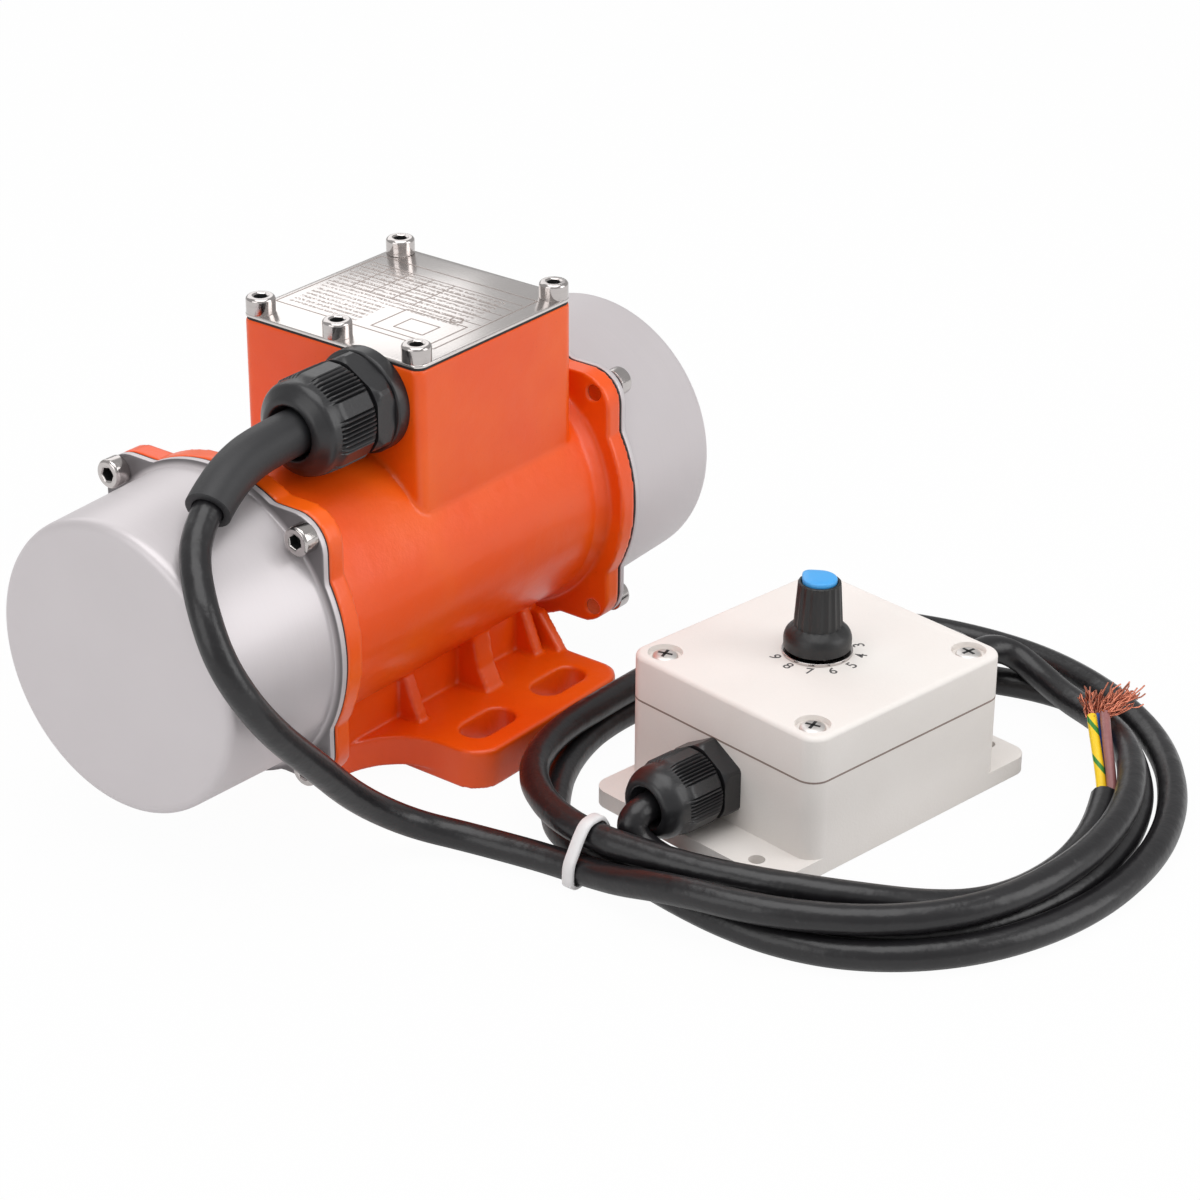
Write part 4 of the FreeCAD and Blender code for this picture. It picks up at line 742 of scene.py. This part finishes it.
# from the bottom edge to the top one: how far each ring stands in, and how high
edgeRings = [(0.12, 0.0), (0.0, 0.1), (0.0, 0.62), (0.08, 0.76), (0.2, 0.8)]
rings = [rectRing(plate["halfX"] - inset, plate["halfY"] - inset, plate["corner"] - inset,
                  plate["low"] + rise) for inset, rise in edgeRings]
addPiece("boxPlate", skin(np.stack(rings), capped=True), "motor", plateMetal,
         ("terminal_plate",), 50)
print("stage: covers, screws and plate")

# motor's cable gland
glandLine = np.array((-27.2, -11.5, 90.3))
glandSizes = {"flange": 12.1, "hex": 12.7, "nut": 11.9, "hexStart": 3.6, "hexEnd": 9.3, "nutEnd": 20.9,
              "domeEnd": 25.9, "mouth": 6.0, "bore": 5.3}


def limited(shape, middle, along, limits):
    # no point of a turned shape stands further from the line than the limit at its height
    points, faces = shape
    along = unit(along)
    reach = points - middle
    height = reach @ along
    spoke = reach - height[:, None] * along
    length = np.linalg.norm(spoke, axis=1)
    most = np.interp(height, [spot[0] for spot in limits], [spot[1] for spot in limits])
    share = np.minimum(1, most / np.maximum(length, 1e-9))
    return middle + height[:, None] * along + spoke * share[:, None], faces


def glandBody(middle, along, start, size):
    # round flange, six-sided body with its corners cut by a cone, and the neck that the nut turns on
    low, high = size["hexStart"], size["hexEnd"]
    profile = [(size["bore"], -3), (size["flange"] * 0.66, -3), (size["flange"] * 0.66, 0)]
    shares = [0, 0, 0]
    if low > 0.1:
        band = eased([(size["flange"], 0.05, 0), (size["flange"], low - 0.1, 0.6),
                      (size["flange"] - 1.2, low, 0)], 6)
        profile += band
        shares += [0] * len(band)
    heights = np.linspace(low, high, 13)
    profile += [(size["hex"], height) for height in heights]
    shares += [1] * len(heights)
    profile += [(size["nut"] * 0.8, high), (size["nut"] * 0.8, high + 1.2), (size["bore"], high + 1.2)]
    shares += [0, 0, 0]
    shape = turned(profile, middle, along, start, lambda angle: hexForm(angle, 0.975), shares, 144)
    span = high - low
    edge = size["hex"] * 0.9
    limits = [(low - 0.2, size["flange"]), (low, edge if low > 0.1 else size["hex"]),
              (low + span * 0.3, size["hex"]), (high - span * 0.3, size["hex"]), (high, edge + 0.2)]
    return limited(shape, middle, along, limits)


def glandNut(middle, along, start, size):
    # ribbed nut that runs into a smooth dome with a soft mouth
    low, high, end = size["hexEnd"] + 0.5, size["nutEnd"], size["domeEnd"]
    rad, mouth = size["nut"], size["mouth"]
    heights = np.linspace(low, high, 15)
    dome = eased([(rad * 0.93, high, 0), (rad * 0.915, high + (end - high) * 0.5, 2.2),
                  (mouth + 1.9, end - 0.25, 1.7), (mouth + 0.4, end, 0.5), (mouth - 0.2, end - 1.4, 0.6),
                  (size["bore"], end - 3.4, 0), (size["bore"], low, 0)], 8)
    profile = [(rad * 0.8, low)] + [(rad, height) for height in heights] + dome
    shares = [0] + [1] * len(heights) + [0] * len(dome)
    shape = turned(profile, middle, along, start, ribForm, shares, 432)
    span = high - low
    limits = [(low, rad * 0.93), (low + span * 0.1, rad), (high - span * 0.16, rad), (high, rad * 0.925),
              (end + 1, rad)]
    return limited(shape, middle, along, limits)


outward = (-1, 0, 0)
addPiece("motorGlandBody", glandBody(glandLine, outward, (0, 0, 1), glandSizes), "motor", nylon,
         ("motor_gland_body",), 26)
addPiece("motorGlandNut", glandNut(glandLine, outward, (0, -1, 0), glandSizes), "motor", nylon,
         ("motor_gland_nut",), 30)


def tubeSkin(line, outer, inner, around=40):
    # a hollow tube along a line of points: rings square to the line, out along the outside and back inside
    ahead = np.gradient(line, axis=0)
    ahead /= np.linalg.norm(ahead, axis=1)[:, None]
    side = np.cross(ahead, np.array((0.05, 0.1, 1.0)))
    side /= np.linalg.norm(side, axis=1)[:, None]
    rise = np.cross(side, ahead)
    sweep = np.linspace(0, 2 * np.pi, around, endpoint=False)
    spoke = np.cos(sweep)[None, :, None] * side[:, None] + np.sin(sweep)[None, :, None] * rise[:, None]
    path = line[:, None]
    if inner:
        lip = path[-1:] + ahead[-1:, None] * 0.25
        rings = np.concatenate([path + spoke * outer, lip + spoke[-1:] * (outer - 0.35),
                                lip + spoke[-1:] * (inner + 0.25), (path + spoke * inner)[::-1]])
        return skin(rings, loop=True)
    return skin(path + spoke * outer, capped=True)


cordLine = splinePoints(motorCord) * 1000
away = np.cumsum(np.r_[0, np.linalg.norm(np.diff(cordLine, axis=0), axis=1)])
sleeve = {"radius": 5.2, "bore": 3.45, "length": 39.4}
sleeveShape = tubeSkin(cordLine[away < sleeve["length"]], sleeve["radius"], sleeve["bore"])
addPiece("cordSleeve", sleeveShape, "motor", sleeveRubber, ("cord_sleeve",), 40)
print("stage: motor gland and sleeve")

# controller
caseSpot = {"x": 23.72, "y": -99.01, "turn": math.radians(-9.02), "high": 34.5, "seam": 23.4, "halfX": 31.3,
            "halfY": 29.0, "corner": 4.5, "glandY": 1.2, "glandZ": 13.8}


def caseWorld(points, move=True):
    # from the case's own x and y, straight on its sides, to the frame's; a direction turns but doesn't move
    points = np.asarray(points, float)
    turn = caseSpot["turn"]
    spin = np.array(((math.cos(turn), -math.sin(turn), 0), (math.sin(turn), math.cos(turn), 0), (0, 0, 1)))
    return points @ spin.T + (np.array((caseSpot["x"], caseSpot["y"], 0)) if move else 0)


softCopy("caseBase", "controller_base", "motor", caseShell, 0.45, 3)
softCopy("caseLid", "controller_lid", "motor", caseShell, 0.35, 3)
softCopy("dialWasher", "control_washer", "motor", brightSteel, 0.15, 2)
softCopy("dialNut", "control_nut", "motor", brightSteel, 0.2, 2)

# a thin grey ring, a little proud round the seam, is painted shade for the seam's groove; the lid's screws
# stand in round recesses
seamShadeEdge = ((0.3, -0.34), (-0.04, -0.2), (-0.04, 0.24), (0.3, 0.36), (1.4, 0.36), (1.4, -0.34))
halfX, halfY, corner, seam = (caseSpot[key] for key in ("halfX", "halfY", "corner", "seam"))
seamRings = [rectRing(halfX - inset, halfY - inset, corner - inset, seam + rise) for inset, rise in seamShadeEdge]
seamShadeShape = skin(caseWorld(np.stack(seamRings)), loop=True)
addPiece("caseSeamShade", seamShadeShape, "motor", seamShadeGrey, (), 40)

lidScrew = {"x": 25.5, "y": 22.8, "floor": 33.1, "radius": 2.95, "high": 1.15, "slot": 1.75, "slotHalf": 0.36,
            "slotFloor": 0.5, "shank": 1.4, "length": 15.0}


def crossSlot(spot, turn):
    # two narrow dark bars across each other, at the screw's own angle: painted shade for the cross slot
    bars = []
    for angle in (turn, turn + math.pi / 2):
        spin = np.array(((math.cos(angle), math.sin(angle), 0), (-math.sin(angle), math.cos(angle), 0),
                         (0, 0, 1)))
        rings = np.stack([rectRing(lidScrew["slot"], lidScrew["slotHalf"], 0.1, height)
                          for height in (lidScrew["slotFloor"], lidScrew["high"] + 0.02)])
        bars.append(skin(rings @ spin + caseWorld(spot), capped=True))
    return joined(bars)


headLine = eased([(0, lidScrew["high"], 0), (1.9, lidScrew["high"], 0.8), (lidScrew["radius"], 0.7, 0.4),
                  (lidScrew["radius"], 0, 0.1), (lidScrew["shank"], 0, 0),
                  (lidScrew["shank"], -lidScrew["length"], 0), (0, -lidScrew["length"], 0)], 4)
screwSpots = [(x * lidScrew["x"], y * lidScrew["y"], lidScrew["floor"]) for x in (-1, 1) for y in (-1, 1)]
heads = [turned(headLine, caseWorld(spot), (0, 0, 1), (1, 0, 0), count=48) for spot in screwSpots]
# the lid screws' cross slots as dark bars of painted shade
slotShades = [crossSlot(spot, spot[0] * 0.7 + spot[1]) for spot in screwSpots]
addPiece("caseScrews", joined(heads), "motor", screwMetal, ("lid_screws",), 40)
addPiece("caseScrewSlotShades", joined(slotShades), "motor", blackRubberAndShade)

smallSizes = {"flange": 9.6, "hex": 9.9, "nut": 9.2, "hexStart": 0.0, "hexEnd": 4.9, "nutEnd": 15.2,
              "domeEnd": 21.2, "mouth": 4.7, "bore": 3.45}
for side, name in ((-1, "front"), (1, "rear")):
    middle = caseWorld((side * caseSpot["halfX"], caseSpot["glandY"], caseSpot["glandZ"]))
    along = caseWorld((side, 0, 0), False)
    addPiece(name + "CaseGlandBody", glandBody(middle, along, (0, 0, 1), smallSizes), "motor", nylon,
             (name + "_gland_body",), 26)
    addPiece(name + "CaseGlandNut", glandNut(middle, along, caseWorld((0, -1, 0), False), smallSizes),
             "motor", nylon, (name + "_gland_nut",), 30)

# speed knob
knob = {"low": 36.0, "skirt": 7.7, "skirtTop": 39.8, "neck": 5.6, "tip": 4.9, "top": 52.1, "hollow": 6.6,
        "flutes": 18, "pointer": math.radians(78), "well": 50.9}


def fluteForm(angle):
    # shallow hollows between narrow ridges
    return 1 - 0.055 * (0.5 - 0.5 * np.cos(knob["flutes"] * angle)) ** 0.7


def tearForm(angle):
    # a circle drawn out to one soft point
    off = (angle + np.pi) % (2 * np.pi) - np.pi
    return 1 + 0.26 * np.exp(-(off / 0.42) ** 2)


knobLine = np.array((caseSpot["x"], caseSpot["y"], 0))
pointer = (math.cos(knob["pointer"]), math.sin(knob["pointer"]), 0)
skirt = eased([(3.1, 38.6, 0), (knob["hollow"], 38.6, 0.2), (knob["hollow"], knob["low"], 0.1),
               (knob["skirt"], knob["low"], 0.35), (knob["skirt"] + 0.05, 38.4, 0.4),
               (knob["skirt"] - 0.35, knob["skirtTop"], 0.9), (knob["neck"] + 0.35, knob["skirtTop"] + 1.3,
                                                               0.7)], 6)
taper, rise = knob["tip"] - knob["neck"], knob["top"] - knob["skirtTop"] - 2.0
grip = [(knob["neck"] + taper * part, knob["skirtTop"] + 1.6 + rise * part) for part in np.linspace(0, 1, 8)]
crown = eased([(knob["tip"] - 0.05, knob["top"] - 0.2, 0), (knob["tip"] - 0.3, knob["top"], 0.2),
               (4.15, knob["top"], 0.1), (4.1, knob["well"], 0), (0, knob["well"], 0)], 4)
shares = [0] * len(skirt) + [1] * len(grip) + [0.2] * 2 + [0] * (len(crown) - 2)
addPiece("speedKnob", turned(skirt + grip + crown, knobLine, (0, 0, 1), pointer, fluteForm, shares, 216),
         "knob", knobBlack, ("knob",), 32)
cap = eased([(0, 50.95, 0), (3.75, 50.95, 0), (3.95, 52.3, 0), (3.9, 52.95, 0.5), (2.6, 53.2, 0.5),
             (0, 53.25, 0)], 5)
addPiece("knobCap", turned(cap, knobLine, (0, 0, 1), pointer, tearForm, [1] * len(cap), 96), "knob", knobBlue,
         ("knob_cap",), 50)

# dial numbers
dial = {"radius": 10.1, "size": 3.9, "first": 144.0, "turn": 30.2, "thick": 0.02, "bolder": 0.03}


def dialNumbers():
    # each number's letter shape laid flat, its head towards the knob, at equal angles from 9 back to 0
    meshes = []
    for number in range(10):
        text = bpy.data.curves.new("digit", "FONT")
        text.body = str(number)
        text.size = dial["size"]
        text.align_x = "CENTER"
        text.align_y = "CENTER"
        text.extrude = dial["thick"]
        text.offset = dial["bolder"]
        mesh = madeMesh(placed("digit", text))
        spots = meshPoints(mesh)
        angle = math.radians(dial["first"] + dial["turn"] * (9 - number))
        right = np.array((-math.sin(angle), math.cos(angle), 0))
        upward = np.array((-math.cos(angle), -math.sin(angle), 0))
        spots = spots[:, :1] * right + spots[:, 1:2] * upward + spots[:, 2:] * np.array((0, 0, 1.0))
        outwards = np.array((math.cos(angle), math.sin(angle), 0))
        spots += knobLine + dial["radius"] * outwards + np.array((0, 0, caseSpot["high"] + 0.01))
        meshes.append((spots, [list(face.vertices) for face in mesh.polygons]))
    return joined(meshes)


addPiece("dialNumbers", dialNumbers(), "motor", inkGrey, (), 40, 0.0001)
print("stage: controller")

# cable tie
tie = {"wide": 3.0, "thick": 0.9, "y": -84.0}
tieLine = eased([(-47.5, 1.9, 0), (-46.4, 0.95, 1.0), (-34.6, 0.95, 1.4), (-33.1, 1.4, 1.3),
                 (-32.9, 5.2, 2.2), (-35.6, 11.6, 2.4), (-37.2, 13.9, 1.8), (-41.6, 14.1, 1.8),
                 (-43.6, 12.0, 2.4), (-47.5, 6.2, 2.4), (-47.6, 3.0, 1.0)], 6)


def bandSkin(line, middle, wide, thick):
    # a flat band with soft edges round a closed line of (x, z), pushed out from the line along its own normal
    line = np.array(line)
    ahead = np.roll(line, -1, 0) - np.roll(line, 1, 0)
    ahead /= np.linalg.norm(ahead, axis=1)[:, None]
    out = np.c_[-ahead[:, 1], ahead[:, 0]]
    if np.sum(out * (line - line.mean(0))) < 0:
        out = -out
    table = [(0, -0.5), (0, 0.5), (0.35, 0.5), (0.8, 0.44), (1, 0.34), (1, -0.34), (0.8, -0.44), (0.35, -0.5)]
    rings = []
    for lift, across in table:
        flat = line + out * lift * thick
        rings.append(np.c_[flat[:, 0], np.full(len(flat), middle + across * wide), flat[:, 1]])
    return skin(np.stack(rings, 1), loop=True)


bandShape = bandSkin(tieLine, tie["y"], tie["wide"], tie["thick"])
cableTie = addPiece("cableTie", bandShape, "motor", tieNylon, ("cable_tie",), 40)

# bare end: three cores and their copper
coreRadius = 0.00118
coreRoutes = {"yellowCore": [(0.0470, -0.1608, 0.0056), (0.0510, -0.1590, 0.0064), (0.0557, -0.1556, 0.0086),
                             (0.0612, -0.1512, 0.0112), (0.0655, -0.1478, 0.0130), (0.0688, -0.1454, 0.0141)],
              "blueCore": [(0.0477, -0.1612, 0.0050), (0.0521, -0.1593, 0.0058), (0.0573, -0.1556, 0.0078),
                           (0.0628, -0.1513, 0.0102), (0.0674, -0.1478, 0.0121), (0.0708, -0.1454, 0.0134)],
              "brownCore": [(0.0478, -0.1628, 0.0056), (0.0517, -0.1612, 0.0070), (0.0567, -0.1577, 0.0094),
                            (0.0620, -0.1537, 0.0119), (0.0667, -0.1503, 0.0139), (0.0704, -0.1478, 0.0150)],
              }
coreShades = {"yellowCore": wireYellow, "blueCore": wireBlue, "brownCore": wireBrown}
cores = [cordPiece(name, route, coreRadius, coreShades[name])
         for name, route in coreRoutes.items()]
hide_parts("core_wires")


# each fan: its strands, the end of its core, the middle of its tips and how far they spread
strands = {"radius": 0.19, "lowest": 13.2, "seed": 7, "fans": (
    (36, (68.5, -145.6, 14.0), (76.6, -140.6, 15.9), (3.4, 2.4, 1.8)),
    (32, (70.5, -145.6, 13.3), (80.5, -144.4, 15.8), (3.6, 3.0, 1.8)),
    (40, (70.1, -148.0, 14.9), (81.2, -148.8, 16.6), (3.4, 3.0, 1.8)))}


def copperFray():
    # each strand starts inside its core's end and bends out to its own tip: a quadratic curve between three
    # points, with a slight sine wave along it
    chance = np.random.default_rng(strands["seed"])
    parts = []
    for count, base, aim, spread in strands["fans"]:
        base = np.array(base)
        aim = np.array(aim)
        for number in range(count):
            start = base + chance.normal(0, 0.38, 3)
            end = aim + chance.normal(0, 0.55, 3) * np.array(spread)
            end = start + (end - start) * chance.uniform(0.72, 1.05)
            end[2] = max(end[2], strands["lowest"])
            middle = (start + end) / 2 + chance.normal(0, 0.8, 3)
            part = np.linspace(0, 1, 9)[:, None]
            line = (1 - part) ** 2 * start + 2 * part * (1 - part) * middle + part ** 2 * end
            line = line + np.sin(part * math.pi * 3 + chance.uniform(0, 6)) * chance.normal(0, 0.3, 3)
            parts.append(tubeSkin(line, strands["radius"], None, 6))
    return joined(parts)


frayShape = copperFray()
fray = addPiece("copperFray", frayShape, "motor", copperBare, ("copper_strands",), 60, 0.0005)
print("stage: cord ends")

# materials of the CAD nodes that stay
slotFinish = {
    "cover_metal": coverMetal, "steel": steelPlain, "black_rubber": blackRubberAndShade, "laminated_steel": laminated,
    "copper_wire": copperWound, "cast_alloy": castAlloy, "brass_parts": brassMetal, "board_green": boardGreen,
    "part_grey": partGrey, "terminal_cream": terminalCream, "black_nylon": nylon, "grey_rubber": sleeveRubber,
    "orange_paint": paint, "plate_steel": plateMetal, "cord_jacket": jacket, "case_abs": caseShell,
    "knob_black": knobBlack, "knob_blue": knobBlue, "core_insulation": wireBlue,
}
nodeSlots = {item["node"]: item["material_slot"] for item in frame["record"]["subparts"]}
for name, node in cadNodes.items():
    node.data.materials.clear()
    node.data.materials.append(slotFinish[nodeSlots[name]])
print("stage: node finishes")

# floor and light
studio = {"floorHalf": 3.0, "floorZ": -0.0002, "floorWhite": 0.74, "floorGlow": 0.97, "sky": 0.47, "top": 7.2,
          "right": 4.9, "left": 3.0, "back": 2.0}


def studioFloor():
    # white paper: it glows to the camera and takes shadows as a matte surface
    half = studio["floorHalf"]
    mesh = bpy.data.meshes.new("studioFloor")
    corners = [(x * half, y * half, studio["floorZ"]) for x, y in ((-1, -1), (1, -1), (1, 1), (-1, 1))]
    mesh.from_pydata(corners, [], [(0, 1, 2, 3)])
    floor = placed("studioFloor", mesh)
    shade = Shade("floorPaper")
    tree = shade.tree
    ray = tree.nodes.new("ShaderNodeLightPath")
    seen = shade.math("MAXIMUM", Field(shade, ray.outputs["Is Camera Ray"]),
                      Field(shade, ray.outputs["Is Glossy Ray"]) * 0.5)
    seen = shade.math("MAXIMUM", seen, Field(shade, ray.outputs["Is Transmission Ray"]))
    glow = tree.nodes.new("ShaderNodeEmission")
    glow.inputs["Strength"].default_value = 1.0
    matte = tree.nodes.new("ShaderNodeBsdfDiffuse")
    matte.inputs["Color"].default_value = (studio["floorWhite"],) * 3 + (1,)
    blend = tree.nodes.new("ShaderNodeMixShader")
    shade.join(blend.inputs[0], seen * studio["floorGlow"])
    tree.links.new(matte.outputs[0], blend.inputs[1])
    tree.links.new(glow.outputs[0], blend.inputs[2])
    output = tree.nodes.new("ShaderNodeOutputMaterial")
    tree.links.new(blend.outputs[0], output.inputs[0])
    mesh.materials.append(shade.material)


def softLight(name, place, aim, wide, tall, strength):
    # a rectangle of light that faces aim
    lamp = bpy.data.lights.new(name, "AREA")
    lamp.shape = "RECTANGLE"
    lamp.size = wide
    lamp.size_y = tall
    lamp.energy = strength
    facing = (Vector(aim) - Vector(place)).to_track_quat("-Z", "Y").to_matrix().to_4x4()
    placed(name, lamp).matrix_world = Matrix.Translation(place) @ facing


def studioSky():
    # white to the camera, dimmer as a light
    world = bpy.data.worlds.new("studioSky")
    bpy.context.scene.world = world
    world.use_nodes = True
    tree = world.node_tree
    tree.nodes.clear()
    ray = tree.nodes.new("ShaderNodeLightPath")
    camera = tree.nodes.new("ShaderNodeBackground")
    camera.inputs["Color"].default_value = (1, 1, 1, 1)
    around = tree.nodes.new("ShaderNodeBackground")
    around.inputs["Color"].default_value = (1, 1, 1, 1)
    around.inputs["Strength"].default_value = studio["sky"]
    blend = tree.nodes.new("ShaderNodeMixShader")
    output = tree.nodes.new("ShaderNodeOutputWorld")
    tree.links.new(ray.outputs["Is Camera Ray"], blend.inputs[0])
    tree.links.new(around.outputs[0], blend.inputs[1])
    tree.links.new(camera.outputs[0], blend.inputs[2])
    tree.links.new(blend.outputs[0], output.inputs[0])


studioFloor()
studioSky()
middle = (0, -0.04, 0.05)
softLight("topBox", (-0.1, -0.1, 1.1), middle, 1.0, 1.0, studio["top"])
softLight("rightBox", (0.45, -1.05, 0.55), middle, 0.7, 0.9, studio["right"])
softLight("leftBox", (-1.1, 0.1, 0.5), middle, 0.8, 0.8, studio["left"])
softLight("backBox", (0.5, 0.9, 0.7), middle, 1.0, 0.6, studio["back"])
bpy.context.scene.view_settings.view_transform = "Standard"
print("stage: studio")
